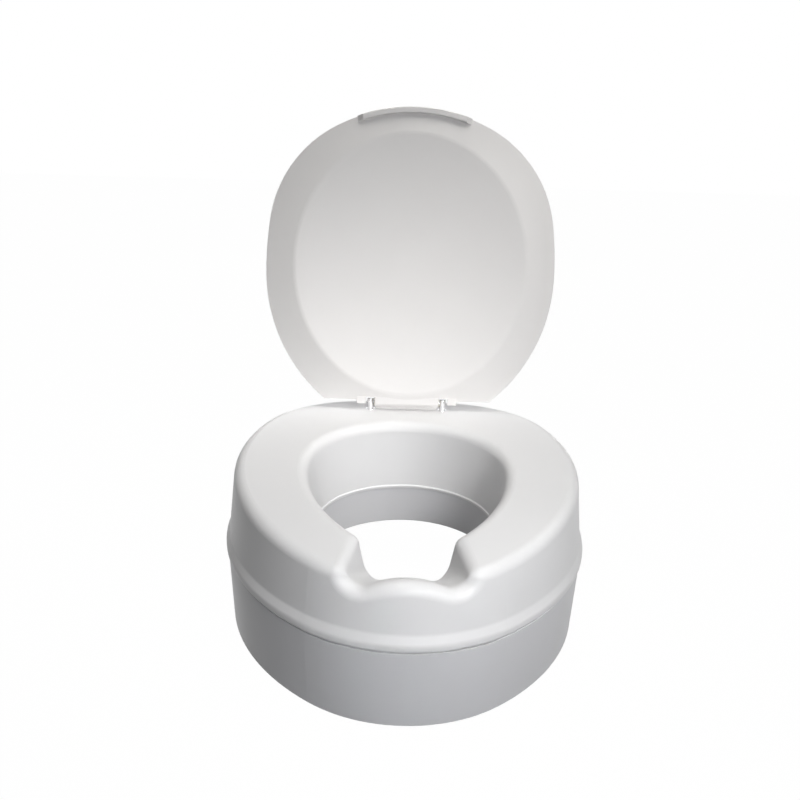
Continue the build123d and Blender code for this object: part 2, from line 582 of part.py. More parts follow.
# ================================================================ rubber pads and brackets
def make_rim_pad(arc, start, end, side):
    """Curved pad under the web, with grooves that run along the bowl rim."""
    low = WEB_HEIGHT - PAD_THICKNESS
    near, far = -PAD_INSET, -PAD_INSET - PAD_WIDTH
    pitch = PAD_WIDTH / (PAD_GROOVES + 1)
    corners = [(near, WEB_HEIGHT), (near, low + PAD_CHAMFER), (near - PAD_CHAMFER, low)]
    for index in range(PAD_GROOVES):
        middle = near - pitch * (index + 1)
        half = PAD_GROOVE
        corners += [(middle + half, low), (middle + half / 2, low + PAD_GROOVE),
                    (middle - half / 2, low + PAD_GROOVE), (middle - half, low)]
    corners += [(far + PAD_CHAMFER, low), (far, low + PAD_CHAMFER), (far, WEB_HEIGHT)]
    section = make_face(Polyline(*corners, close=True))
    (cx, cy), radius, _, _ = arc
    out = (cos(radians(start)), sin(radians(start)), 0)
    plane = Plane(origin=(cx, cy, 0), x_dir=out, z_dir=(out[1], -out[0], 0))
    pad = revolve(plane * (Pos(radius, 0) * section), Axis((cx, cy, 0), (0, 0, 1)), end - start)
    pad = fillet(pad.edges().filter_by(Axis.Z).group_by(SortBy.LENGTH)[-1], 3.0)
    return pad if side > 0 else mirror(pad, about=Plane.YZ)


def make_bracket(x, y, heading):
    """Bent plate: a slotted arm under the web and a leg inside the bowl."""
    top = WEB_HEIGHT - SLIDE_GAP
    up = (Align.MIN, Align.CENTER, Align.MAX)
    arm = Box(BRACKET_REACH, BRACKET_WIDTH, BRACKET_WALL, align=up)
    arm = fillet(arm.edges().filter_by(Axis.Z).group_by(Axis.X)[-1], BRACKET_RADIUS)
    leg = Box(BRACKET_WALL, BRACKET_WIDTH, BRACKET_DROP, align=up)
    leg = fillet(leg.edges().filter_by(Axis.X).group_by(Axis.Z)[0], BRACKET_RADIUS)
    bend = joined(arm, leg)
    outer_bend = bend.edges().filter_by(Axis.Y).group_by(Axis.Z)[-1].group_by(Axis.X)[0]
    bend = fillet(outer_bend, BRACKET_BEND)
    slot = Pos(CLAMP_SETBACK - BRACKET_TRAVEL / 2, 0, 0) * extrude(
        SlotCenterToCenter(BRACKET_TRAVEL, 2 * (CLAMP_RADIUS + CLAMP_CLEARANCE)), -2 * BRACKET_WALL, both=True)
    return radial(x, y, heading, BRACKET_SETBACK, top) * (bend - slot)


def make_bracket_face(x, y, heading):
    """Ribbed rubber facing on the leg, which meets the inside of the bowl."""
    width = BRACKET_WIDTH - 2 * FACE_MARGIN
    height = BRACKET_DROP - BRACKET_WALL - 2 * FACE_MARGIN
    face = Box(FACE_THICKNESS, width, height, align=(Align.MIN, Align.CENTER, Align.MAX))
    face = fillet(face.edges().filter_by(Axis.X), 2.0)
    ribs = int(height // 4)
    for index in range(ribs):
        level = -height * (index + 0.5) / ribs
        face -= Pos(FACE_THICKNESS, 0, level) * Box(1.6, width + 1, 1.2)
    top = WEB_HEIGHT - SLIDE_GAP - BRACKET_WALL - FACE_MARGIN
    return radial(x, y, heading, BRACKET_SETBACK + BRACKET_WALL, top) * face


# ================================================================ hinge
def make_hinge_post(side):
    """Plated post with a domed head, a cross hole for the pin, a flange and a stud."""
    up = (Align.CENTER, Align.CENTER, Align.MIN)
    post = Cylinder(POST_RADIUS, HINGE_RISE + POST_CAP, align=up)
    post = fillet(post.edges().group_by(Axis.Z)[-1], POST_DOME)
    flange = Cylinder(FLANGE_RADIUS, FLANGE_HEIGHT, align=up)
    flange = fillet(flange.edges().group_by(Axis.Z)[-1], 0.6)
    stack = SHELL_WALL + HINGE_BOSS_HEIGHT + WASHER_HEIGHT + NUT_HEIGHT + STUD_TAIL
    stud = Pos(0, 0, -stack) * Cylinder(STUD_RADIUS, stack, align=up)
    stud = chamfer(stud.edges().group_by(Axis.Z)[0], 0.8)
    hole = Pos(0, 0, HINGE_RISE) * Rot(Y=90) * Cylinder(PIN_RADIUS + PRESS_CLEARANCE, 4 * POST_RADIUS)
    return Pos(side * POST_SPREAD, HINGE_Y, BODY_HEIGHT) * (joined(post, flange, stud) - hole)


def make_hinge_washers():
    """Washers under the hinge bosses."""
    level = BODY_HEIGHT - SHELL_WALL - HINGE_BOSS_HEIGHT - WASHER_HEIGHT
    ring = extrude(Circle(WASHER_RADIUS) - Circle(STUD_RADIUS + STUD_CLEARANCE), WASHER_HEIGHT)
    return [Pos(side * POST_SPREAD, HINGE_Y, level) * ring for _, side in SIDES]


def make_hinge_nuts():
    """Nuts on the studs of the hinge posts."""
    level = BODY_HEIGHT - SHELL_WALL - HINGE_BOSS_HEIGHT - WASHER_HEIGHT - NUT_HEIGHT
    nut = extrude(hexagon(NUT_FLATS) - Circle(STUD_RADIUS + THREAD_CLEARANCE), NUT_HEIGHT)
    return [Pos(side * POST_SPREAD, HINGE_Y, level) * nut for _, side in SIDES]


def make_hinge_pin():
    """Rod from post to post."""
    half = POST_SPREAD + POST_RADIUS + PIN_OVERHANG
    pin = Rot(Y=90) * Cylinder(PIN_RADIUS, 2 * half)
    return Pos(0, HINGE_Y, HINGE_Z) * chamfer(pin.edges(), 0.6)


def make_hinge_bush(side):
    """Flanged bush at one end of the lid's knuckle, in the hinge line's own frame."""
    body = Circle(BUSH_RADIUS) - Circle(PIN_RADIUS + PIN_CLEARANCE)
    head = Circle(BUSH_FLANGE_RADIUS) - Circle(PIN_RADIUS + PIN_CLEARANCE)
    bush = joined(extrude(body, -BUSH_LENGTH), extrude(head, BUSH_FLANGE))
    return hinge_frame() * Rot(Y=90 * side) * Pos(0, 0, KNUCKLE_END) * bush


# ================================================================ lid
def hinge_frame(angle=CLOSED_TO_OPEN):
    """Frame on the hinge line, turned with the lid."""
    return Pos(0, HINGE_Y, HINGE_Z) * Rot(X=angle)


def lid_blank():
    """Lid plate with a domed top, in the closed lid's frame, front towards -Y."""
    arcs = lid_arcs()
    blank = mirror(plate(arcs, 0.0, RIDGE_W - 1, LID_CROWN + 1), about=Plane.XZ)
    edge_top = RIM_EDGE_W + LID_EDGE_WALL
    radius = (LID_HALF_WIDTH ** 2 + LID_CROWN ** 2) / (2 * LID_CROWN)
    ball = scale(Rot(X=90) * Sphere(radius), by=(1, LID_CROWN_STRETCH, 1))
    return blank & Pos(0, -RIDGE_CENTRE, edge_top + LID_CROWN - radius) * ball


def lid_underside():
    """Solid that bounds the lid from below: rim slope outside the ridge, shallow dish inside."""
    reach = 90.0
    centre = Pos(0, -RIDGE_CENTRE, RIDGE_W)
    low = centre * Ellipse(RIDGE_HALF_WIDTH, RIDGE_HALF_LENGTH)
    high = centre * Pos(0, 0, reach * tan(radians(RIM_SLOPE))) * Ellipse(
        RIDGE_HALF_WIDTH + reach, RIDGE_HALF_LENGTH + reach)
    slope = loft([low, high], ruled=True)
    radius = (RIDGE_HALF_WIDTH ** 2 + DISH_DEPTH ** 2) / (2 * DISH_DEPTH)
    ball = scale(Rot(X=90) * Sphere(radius), by=(1, RIDGE_HALF_LENGTH / RIDGE_HALF_WIDTH, 1))
    dish = centre * Pos(0, 0, DISH_DEPTH - radius) * ball
    return slope - dish


def lid_lip():
    """Grip lip under the front edge, with sloping ends."""
    arcs = lid_arcs()
    low = RIM_EDGE_W - LIP_DROP
    high = RIM_EDGE_W + LID_EDGE_WALL - LID_EDGE_RADIUS
    ring = plate(arcs, LIP_PROUD, low, high) - plate(arcs, LIP_PROUD - LIP_WALL, low - 1, high + 1)
    ring = mirror(ring, about=Plane.XZ)
    points = [(-LIP_HALF_WIDTH, high + 1), (-LIP_HALF_WIDTH, RIM_EDGE_W), (-LIP_HALF_WIDTH + LIP_END_SLOPE, low - 0.01),
              (LIP_HALF_WIDTH - LIP_END_SLOPE, low - 0.01), (LIP_HALF_WIDTH, RIM_EDGE_W), (LIP_HALF_WIDTH, high + 1)]
    plane = Plane(origin=(0, -LID_REACH / 2, 0), x_dir=(1, 0, 0), z_dir=(0, -1, 0))
    window = extrude(plane * make_face(Polyline(*points, close=True)), LID_REACH)
    lip = ring & window
    low_edges = lip.edges().filter_by(lambda e: abs((e @ 0.5).Z - low) < 0.05)
    return fillet(low_edges, LIP_EDGE_RADIUS)


def lid_knuckle():
    """Barrel round the pin, its fairing into the lid, and the heel that stops the open lid."""
    half = KNUCKLE_END
    barrel = Rot(Y=90) * Cylinder(KNUCKLE_RADIUS, 2 * half)
    side = Plane(origin=(-half, 0, 0), x_dir=(0, -1, 0), z_dir=(-1, 0, 0))
    crown = RIM_EDGE_W + LID_EDGE_WALL
    fairing = [(0, KNUCKLE_RADIUS), (KNUCKLE_FAIRING, crown), (KNUCKLE_FAIRING, RIDGE_W + 3.0),
               (LID_BACK_EDGE + 1, RIDGE_W + 1.0), (0, -KNUCKLE_RADIUS)]
    web = extrude(side * make_face(Polyline(*fairing, close=True)), -2 * half)
    heel_drop = HINGE_RISE - HEEL_GAP
    heel = Box(2 * (half - HEEL_SETBACK), HEEL_DEPTH, heel_drop, align=(Align.CENTER, Align.MIN, Align.MAX))
    heel = fillet(heel.edges().filter_by(Axis.X).group_by(Axis.Y)[-1], 2.0)
    return joined(barrel, web, Rot(X=LID_OPEN_ANGLE) * heel)


def lid_tongue():
    """Small tails of the lid outside the posts."""
    depth = LID_BACK_EDGE + TONGUE_REACH + 4.0
    tail = Pos(0, TONGUE_REACH, 0) * Box(2 * TONGUE_HALF_WIDTH, depth, -RIDGE_W - 1.0,
                                         align=(Align.CENTER, Align.MAX, Align.MAX))
    return fillet(tail.edges().filter_by(Axis.Z).group_by(Axis.Y)[-1], 1.5)


def make_lid():
    """One moulding: dished plate, grip lip, knuckle and slots for the posts."""
    plate_solid = lid_blank() & lid_underside()
    ridge = [e for e in plate_solid.edges() if abs((e @ 0.5).Z - RIDGE_W) < 0.01 and (e @ 0.25 - e @ 0.75).length > 60]
    plate_solid = plate_solid.fillet(RIDGE_SOFTNESS, ridge)
    rim_line = RIM_EDGE_W + LID_EDGE_WALL - LID_EDGE_RADIUS
    top_edges = [e for e in plate_solid.edges() if (e @ 0.5).Z > rim_line and (e @ 0.5).Y < -LID_BACK_EDGE - 1]
    plate_solid = plate_solid.fillet(LID_EDGE_RADIUS, top_edges)
    lid = joined(plate_solid, lid_lip(), lid_tongue(), lid_knuckle())
    slot_half = POST_RADIUS + POST_SLOT_GAP
    slot_width = POST_SPREAD + slot_half - KNUCKLE_END
    slots = [Pos(side * (KNUCKLE_END + slot_width / 2), 0, 0) * Box(slot_width, 2 * slot_half + 2, 60)
             for _, side in SIDES]
    bores = [Rot(Y=90 * side) * Pos(0, 0, KNUCKLE_END - BUSH_LENGTH) * Cylinder(
        BUSH_RADIUS + PRESS_CLEARANCE, 2 * BUSH_LENGTH, align=(Align.CENTER, Align.CENTER, Align.MIN))
        for _, side in SIDES]
    bores.append(Rot(Y=90) * Cylinder(PIN_RADIUS + 0.5, 3 * KNUCKLE_END))
    return hinge_frame() * (lid - slots - bores)


# ================================================================ assembly
def build_parts():
    """All nodes by name, in the body datum."""
    parts = {"seat_shell": make_seat_shell(), "lower_skirt": make_lower_skirt(), "shell_screws": make_shell_screws()}
    arcs = body_arcs()
    for row, name, start, end in RIM_PADS:
        for label, side in SIDES:
            parts[f"rim_pad_{row}_{label}"] = make_rim_pad(arcs[name], start, end, side)
    for label, x, y, heading in bracket_places():
        parts[f"centring_bracket_{label}"] = make_bracket(x, y, heading)
        parts[f"bracket_facing_{label}"] = make_bracket_face(x, y, heading)
    parts["bracket_screws"] = make_bracket_screws()
    parts["bracket_nuts"] = make_bracket_nuts()
    for label, side in SIDES:
        parts[f"hinge_post_{label}"] = make_hinge_post(side)
        parts[f"hinge_bush_{label}"] = make_hinge_bush(side)
    parts["hinge_washers"] = make_hinge_washers()
    parts["hinge_nuts"] = make_hinge_nuts()
    parts["hinge_pin"] = make_hinge_pin()
    parts["lid"] = make_lid()
    return parts


def solids_of(node):
    """Solids of a node that is one shape or a list of shapes."""
    shapes = node if isinstance(node, list) else [node]
    return [solid for shape in shapes for solid in shape.solids()]


def footprint_centre(parts):
    """Y of the middle of the whole object."""
    boxes = [solid.bounding_box() for node in parts.values() for solid in solids_of(node)]
    return (min(b.min.Y for b in boxes) + max(b.max.Y for b in boxes)) / 2


def main():
    os.makedirs("parts", exist_ok=True)
    parts = build_parts()
    shift = -footprint_centre(parts)
    print(f"datum moved by {shift:.4f} mm along Y")
    for name, node in parts.items():
        moved = Compound([Pos(0, shift, 0) * solid for solid in solids_of(node)])
        export_step(moved, f"parts/{name}.step")
        box = moved.bounding_box()
        print(f"{name}: {len(moved.solids())} solids, {moved.volume / 1000:.1f} cm3, "
              f"y {box.min.Y:.1f}..{box.max.Y:.1f}, z {box.min.Z:.1f}..{box.max.Z:.1f}")


main()
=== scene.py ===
"""Looks of a raised toilet seat with a hinged lid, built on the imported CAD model.

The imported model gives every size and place. This script adds the studio, the camera, the finishes
and the finer pieces that stand for the plain CAD solids. Lengths are in metres in the row frame:
+Z up, front towards -Y.
"""

from __future__ import annotations

import json
import logging
import math
from collections.abc import Callable, Iterable, Mapping, Sequence
from dataclasses import dataclass, field
from enum import Enum

import bmesh
import bpy
from mathutils import Matrix, Vector

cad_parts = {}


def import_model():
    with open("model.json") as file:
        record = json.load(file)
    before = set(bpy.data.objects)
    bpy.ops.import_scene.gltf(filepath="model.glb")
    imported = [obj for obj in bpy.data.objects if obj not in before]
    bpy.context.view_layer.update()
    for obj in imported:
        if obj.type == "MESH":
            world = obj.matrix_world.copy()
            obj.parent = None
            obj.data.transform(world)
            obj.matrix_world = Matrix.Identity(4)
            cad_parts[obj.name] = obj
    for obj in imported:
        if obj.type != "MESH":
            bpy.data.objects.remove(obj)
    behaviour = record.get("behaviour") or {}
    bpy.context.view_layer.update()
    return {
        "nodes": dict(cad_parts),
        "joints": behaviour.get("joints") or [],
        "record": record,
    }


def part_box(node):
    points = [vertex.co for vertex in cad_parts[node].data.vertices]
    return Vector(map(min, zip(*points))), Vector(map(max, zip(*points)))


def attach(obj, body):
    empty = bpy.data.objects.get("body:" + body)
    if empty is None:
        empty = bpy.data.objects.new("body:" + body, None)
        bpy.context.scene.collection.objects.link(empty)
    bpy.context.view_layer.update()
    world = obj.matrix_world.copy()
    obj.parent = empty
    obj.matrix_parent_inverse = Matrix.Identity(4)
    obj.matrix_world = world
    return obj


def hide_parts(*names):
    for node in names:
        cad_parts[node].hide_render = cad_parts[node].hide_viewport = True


LOG = logging.getLogger("raised_toilet_seat")
SENSOR = 0.036
WHITE = (1.0, 1.0, 1.0, 1.0)
SHARP_ANGLE = 35.0              # degrees, edges that turn by more stay sharp
OVERLAP = 0.0001                # how far a thread starts inside its head or post
THREAD_CLEARANCE = 0.00002      # between the crests of a nut and its screw


# ---------------------------------------------------------------- shared helpers
def outward(azimuth: float, elevation: float) -> Vector:
    """Direction from the object to a place in the studio.

    Args:
        azimuth: degrees round +Z from straight ahead, positive to the right.
        elevation: degrees above the ground.
    """
    turn, rise = math.radians(azimuth), math.radians(elevation)
    return Vector((math.sin(turn) * math.cos(rise), -math.cos(turn) * math.cos(rise), math.sin(rise)))


def add_object(name: str, data: bpy.types.ID) -> bpy.types.Object:
    """New object in the scene.

    Args:
        name: its name.
        data: its mesh, lamp or camera data.
    """
    item = bpy.data.objects.new(name, data)
    bpy.context.scene.collection.objects.link(item)
    return item


def shaded(mesh: bpy.types.Mesh, sharp: float = SHARP_ANGLE) -> bpy.types.Mesh:
    """The same mesh with smooth shading between its sharp edges."""
    mesh.shade_smooth()
    mesh.set_sharp_from_angle(angle=math.radians(sharp))
    return mesh


# ---------------------------------------------------------------- camera
@dataclass(frozen=True)
class CameraPlan:
    """Where the camera stands and how it looks at the object."""

    azimuth: float = -1.084         # as in outward()
    elevation: float = 24.181
    distance: float = 1.0763
    roll: float = 1.701
    pivot: tuple[float, float, float] = (0.0, 0.02283, 0.150)
    aim: tuple[float, float, float] = (-0.00953, 0.02283, 0.24300)
    focal_share: float = 1.1950     # focal length over the frame's width

    def build(self) -> bpy.types.Object:
        """Make the camera and set it as the scene's.

        Returns:
            The camera object.
        """
        roll = math.radians(self.roll)
        place = Vector(self.pivot) + outward(self.azimuth, self.elevation) * self.distance
        forward = (Vector(self.aim) - place).normalized()
        right = forward.cross(Vector((0, 0, 1))).normalized()
        up = right.cross(forward)
        right_rolled = right * math.cos(roll) + up * math.sin(roll)
        up_rolled = up * math.cos(roll) - right * math.sin(roll)
        data = bpy.data.cameras.new("camera")
        data.sensor_width = SENSOR * 1000
        data.lens = self.focal_share * SENSOR * 1000
        data.clip_start, data.clip_end = 0.05, 60.0
        camera = add_object("camera", data)
        matrix = Matrix((right_rolled, up_rolled, -forward)).transposed().to_4x4()
        matrix.translation = place
        camera.matrix_world = matrix
        bpy.context.scene.camera = camera
        return camera


# ---------------------------------------------------------------- node helper
class NodeTree:
    """Short names for building a node tree."""

    def __init__(self, tree: bpy.types.NodeTree) -> None:
        self.tree = tree

    def add(self, kind: str, **settings: object) -> bpy.types.Node:
        """Add a node.

        Args:
            kind: Blender's name of the node type.
            **settings: attributes to set on the node.

        Returns:
            The new node.
        """
        node = self.tree.nodes.new(kind)
        for name, value in settings.items():
            setattr(node, name, value)
        return node

    def link(self, source: bpy.types.NodeSocket, target: bpy.types.NodeSocket) -> None:
        """Join two sockets."""
        self.tree.links.new(source, target)

    def math(self, operation: str, first: object, second: object = 0.0) -> bpy.types.NodeSocket:
        """Add a math node and return its result.

        Args:
            operation: Blender's name of the operation.
            first: a socket or a number.
            second: a socket or a number.
        """
        node = self.add("ShaderNodeMath", operation=operation)
        for index, value in enumerate((first, second)):
            if isinstance(value, bpy.types.NodeSocket):
                self.link(value, node.inputs[index])
            else:
                node.inputs[index].default_value = float(value)
        return node.outputs[0]

    def noise(self, place: bpy.types.NodeSocket, scale: bpy.types.NodeSocket,
              detail: float = 2.0) -> bpy.types.NodeSocket:
        """Add a noise texture and return its value.

        Args:
            place: coordinates.
            scale: features per metre.
            detail: number of finer layers.
        """
        node = self.add("ShaderNodeTexNoise", noise_dimensions="3D")
        node.inputs["Detail"].default_value = detail
        self.link(place, node.inputs["Vector"])
        self.link(scale, node.inputs["Scale"])
        return node.outputs["Fac"]


def blank_tree(owner: bpy.types.Material | bpy.types.World) -> NodeTree:
    """Emptied node tree of a material or a world."""
    owner.use_nodes = True
    owner.node_tree.nodes.clear()
    return NodeTree(owner.node_tree)


# ---------------------------------------------------------------- finishes
class Surface(Enum):
    """Shared surface effects, one shader node group each."""

    MOULDED = "moulded_surface"
    METAL = "metal_surface"
    RUBBER = "rubber_surface"


@dataclass(frozen=True)
class Finish:
    """What one material looks like."""

    name: str
    surface: Surface
    colour: tuple[float, float, float]
    roughness: float
    metallic: float = 0.0
    ior: float = 1.47
    grain_scale: float = 900.0      # grains per metre
    grain_depth: float = 0.00004
    tone_share: float = 0.02        # how far the colour drifts
    roughness_share: float = 0.08


FINISHES = {
    "seat_plastic": Finish("white_seat_plastic", Surface.MOULDED, (0.770, 0.766, 0.768), 0.34, ior=1.38),
    # Skirt colour: the seat's white plastic darkened as painted shade.
    "skirt_plastic": Finish("white_plastic_skirt_painted_shade", Surface.MOULDED, (0.652, 0.650, 0.664), 0.36, ior=1.38),
    # Lid colour: the seat's white plastic lightened and warmed as painted light.
    "lid_plastic": Finish("white_plastic_lid_painted_light", Surface.MOULDED, (0.880, 0.861, 0.846), 0.36, ior=1.38),
    "bracket_plastic": Finish("grey_bracket_plastic", Surface.MOULDED, (0.62, 0.63, 0.64), 0.48,
                              grain_depth=0.00008),
    "bush_nylon": Finish("natural_nylon", Surface.MOULDED, (0.76, 0.73, 0.66), 0.42),
    "bright_chrome": Finish("bright_chrome", Surface.METAL, (0.86, 0.86, 0.87), 0.07, metallic=1.0,
                            grain_scale=2500.0, grain_depth=0.000004, tone_share=0.01, roughness_share=0.04),
    "pin_steel": Finish("drawn_steel", Surface.METAL, (0.66, 0.66, 0.67), 0.26, metallic=1.0,
                        grain_scale=3000.0, grain_depth=0.00001, tone_share=0.05),
    "zinc_steel": Finish("zinc_plated_steel", Surface.METAL, (0.62, 0.63, 0.65), 0.33, metallic=1.0,
                         grain_scale=1800.0, grain_depth=0.00001, tone_share=0.10),
    "black_rubber": Finish("black_rubber", Surface.RUBBER, (0.030, 0.030, 0.032), 0.72, ior=1.5,
                           grain_scale=1400.0, grain_depth=0.00012, tone_share=0.25),
}


class FinishLibrary:
    """Builds each finish once from the shared surface groups."""

    DRIFT_SCALE = 14.0              # tone patches per metre
    DRIFT_DETAIL = 3.0
    BRUSHING = 0.12                 # stretch of a metal's grain along +Z
    WAVE_SHARE = 0.12               # scale of the waves under the grain
    GRAIN_SHARE = 0.4               # height of the grain over the waves
    SPECK_SHARE = 0.6
    BUMP_STRENGTH = 0.5

    def __init__(self) -> None:
        self._materials: dict[str, bpy.types.Material] = {}
        self._groups: dict[Surface, bpy.types.NodeTree] = {}

    def _group(self, surface: Surface) -> bpy.types.NodeTree:
        """Shader group that turns object coordinates into a tone, a roughness drift and a bump height."""
        if surface in self._groups:
            return self._groups[surface]
        tree = bpy.data.node_groups.new(surface.value, "ShaderNodeTree")
        for name in ("Grain Scale", "Drift Scale"):
            tree.interface.new_socket(name, in_out="INPUT", socket_type="NodeSocketFloat")
        for name in ("Tone", "Wear", "Height"):
            tree.interface.new_socket(name, in_out="OUTPUT", socket_type="NodeSocketFloat")
        nodes = NodeTree(tree)
        inlet, outlet = nodes.add("NodeGroupInput"), nodes.add("NodeGroupOutput")
        place = nodes.add("ShaderNodeTexCoord").outputs["Object"]
        scale = inlet.outputs["Grain Scale"]
        tone = nodes.math("SUBTRACT", nodes.noise(place, inlet.outputs["Drift Scale"], self.DRIFT_DETAIL), 0.5)
        grain_place = place
        if surface is Surface.METAL:
            stretch = nodes.add("ShaderNodeMapping")
            stretch.inputs["Scale"].default_value = (1.0, 1.0, self.BRUSHING)
            nodes.link(place, stretch.inputs["Vector"])
            grain_place = stretch.outputs[0]
        grain = nodes.noise(grain_place, scale)
        if surface is Surface.RUBBER:
            specks = nodes.add("ShaderNodeTexVoronoi", feature="F1")
            nodes.link(place, specks.inputs["Vector"])
            nodes.link(nodes.math("MULTIPLY", scale, self.SPECK_SHARE), specks.inputs["Scale"])
            speckled = nodes.math("MULTIPLY", specks.outputs["Distance"], self.SPECK_SHARE)
            height = nodes.math("ADD", grain, speckled)
        else:
            wave = nodes.noise(place, nodes.math("MULTIPLY", scale, self.WAVE_SHARE))
            height = nodes.math("ADD", nodes.math("MULTIPLY", grain, self.GRAIN_SHARE), wave)
        wear = nodes.math("ADD", tone, nodes.math("MULTIPLY", nodes.math("SUBTRACT", grain, 0.5), 0.6))
        nodes.link(tone, outlet.inputs["Tone"])
        nodes.link(wear, outlet.inputs["Wear"])
        nodes.link(height, outlet.inputs["Height"])
        self._groups[surface] = tree
        return tree

    def get(self, slot: str) -> bpy.types.Material:
        """Material for a slot of the record.

        Args:
            slot: the record's material slot.

        Returns:
            The material, built on first use.
        """
        if slot in self._materials:
            return self._materials[slot]
        finish = FINISHES[slot]
        material = bpy.data.materials.new(finish.name)
        nodes = blank_tree(material)
        output = nodes.add("ShaderNodeOutputMaterial")
        shader = nodes.add("ShaderNodeBsdfPrincipled")
        shader.inputs["Metallic"].default_value = finish.metallic
        shader.inputs["IOR"].default_value = finish.ior
        group = nodes.add("ShaderNodeGroup", node_tree=self._group(finish.surface))
        group.inputs["Grain Scale"].default_value = finish.grain_scale
        group.inputs["Drift Scale"].default_value = self.DRIFT_SCALE
        tint = nodes.add("ShaderNodeHueSaturation")
        tint.inputs["Color"].default_value = (*finish.colour, 1.0)
        nodes.link(nodes.math("ADD", nodes.math("MULTIPLY", group.outputs["Tone"], 2 * finish.tone_share), 1.0),
                   tint.inputs["Value"])
        nodes.link(tint.outputs[0], shader.inputs["Base Color"])
        nodes.link(nodes.math("ADD", nodes.math("MULTIPLY", group.outputs["Wear"], finish.roughness_share * 2),
                              finish.roughness), shader.inputs["Roughness"])
        bump = nodes.add("ShaderNodeBump")
        bump.inputs["Strength"].default_value = self.BUMP_STRENGTH
        bump.inputs["Distance"].default_value = finish.grain_depth
        nodes.link(group.outputs["Height"], bump.inputs["Height"])
        nodes.link(bump.outputs[0], shader.inputs["Normal"])
        nodes.link(shader.outputs[0], output.inputs["Surface"])
        self._materials[slot] = material
        return material


# ---------------------------------------------------------------- studio
@dataclass(frozen=True)
class Lamp:
    """One soft box, aimed at a point on the object."""

    name: str
    azimuth: float                  # as in outward()
    elevation: float
    distance: float
    size: float                     # side of the square
    power: float
    aim: tuple[float, float, float] = (0.0, 0.0, 0.20)
    spread: float = 180.0           # degrees, narrower where a grid stands before the box
    colour: tuple[float, float, float] = (1.0, 1.0, 1.0)

    def build(self) -> bpy.types.Object:
        """Make the lamp."""
        way = outward(self.azimuth, self.elevation)
        data = bpy.data.lights.new(self.name, "AREA")
        data.shape = "SQUARE"
        data.size = self.size
        data.energy = self.power
        data.color = self.colour
        data.spread = math.radians(self.spread)
        lamp = add_object(self.name, data)
        lamp.location = Vector(self.aim) + way * self.distance
        lamp.rotation_euler = (-way).to_track_quat("-Z", "Y").to_euler()
        return lamp


WARM = (1.0, 0.99, 0.965)
COOL = (0.965, 0.985, 1.03)
LAMPS = (
    Lamp("overhead box", 0.0, 85.0, 1.8, 1.2, 10.9, colour=WARM),
    Lamp("gridded key", 25.0, 35.0, 1.2, 0.4, 0.58, aim=(0.0, -0.04, 0.14), spread=40.0),
    Lamp("gridded top", 0.0, 88.0, 1.2, 0.4, 0.09, aim=(0.0, -0.02, 0.18), spread=36.0, colour=WARM),
    Lamp("lid key", 65.0, 45.0, 1.2, 0.3, 0.16, aim=(0.0, 0.17, 0.33), spread=26.0, colour=WARM),
    Lamp("front box", 10.0, 10.0, 1.9, 0.9, 3.0, colour=COOL),
    Lamp("side box", 40.0, 10.0, 1.9, 0.9, 1.2, colour=COOL),
    Lamp("low front box", 10.0, 15.0, 1.1, 0.5, 1.9, aim=(0.0, 0.0, 0.15), colour=COOL),
    Lamp("rear box", 180.0, 40.0, 1.6, 0.6, 0.93, spread=90.0),
    Lamp("back box", 180.0, 6.0, 1.9, 0.9, 3.0, aim=(0.0, 0.15, 0.20), colour=COOL),
)


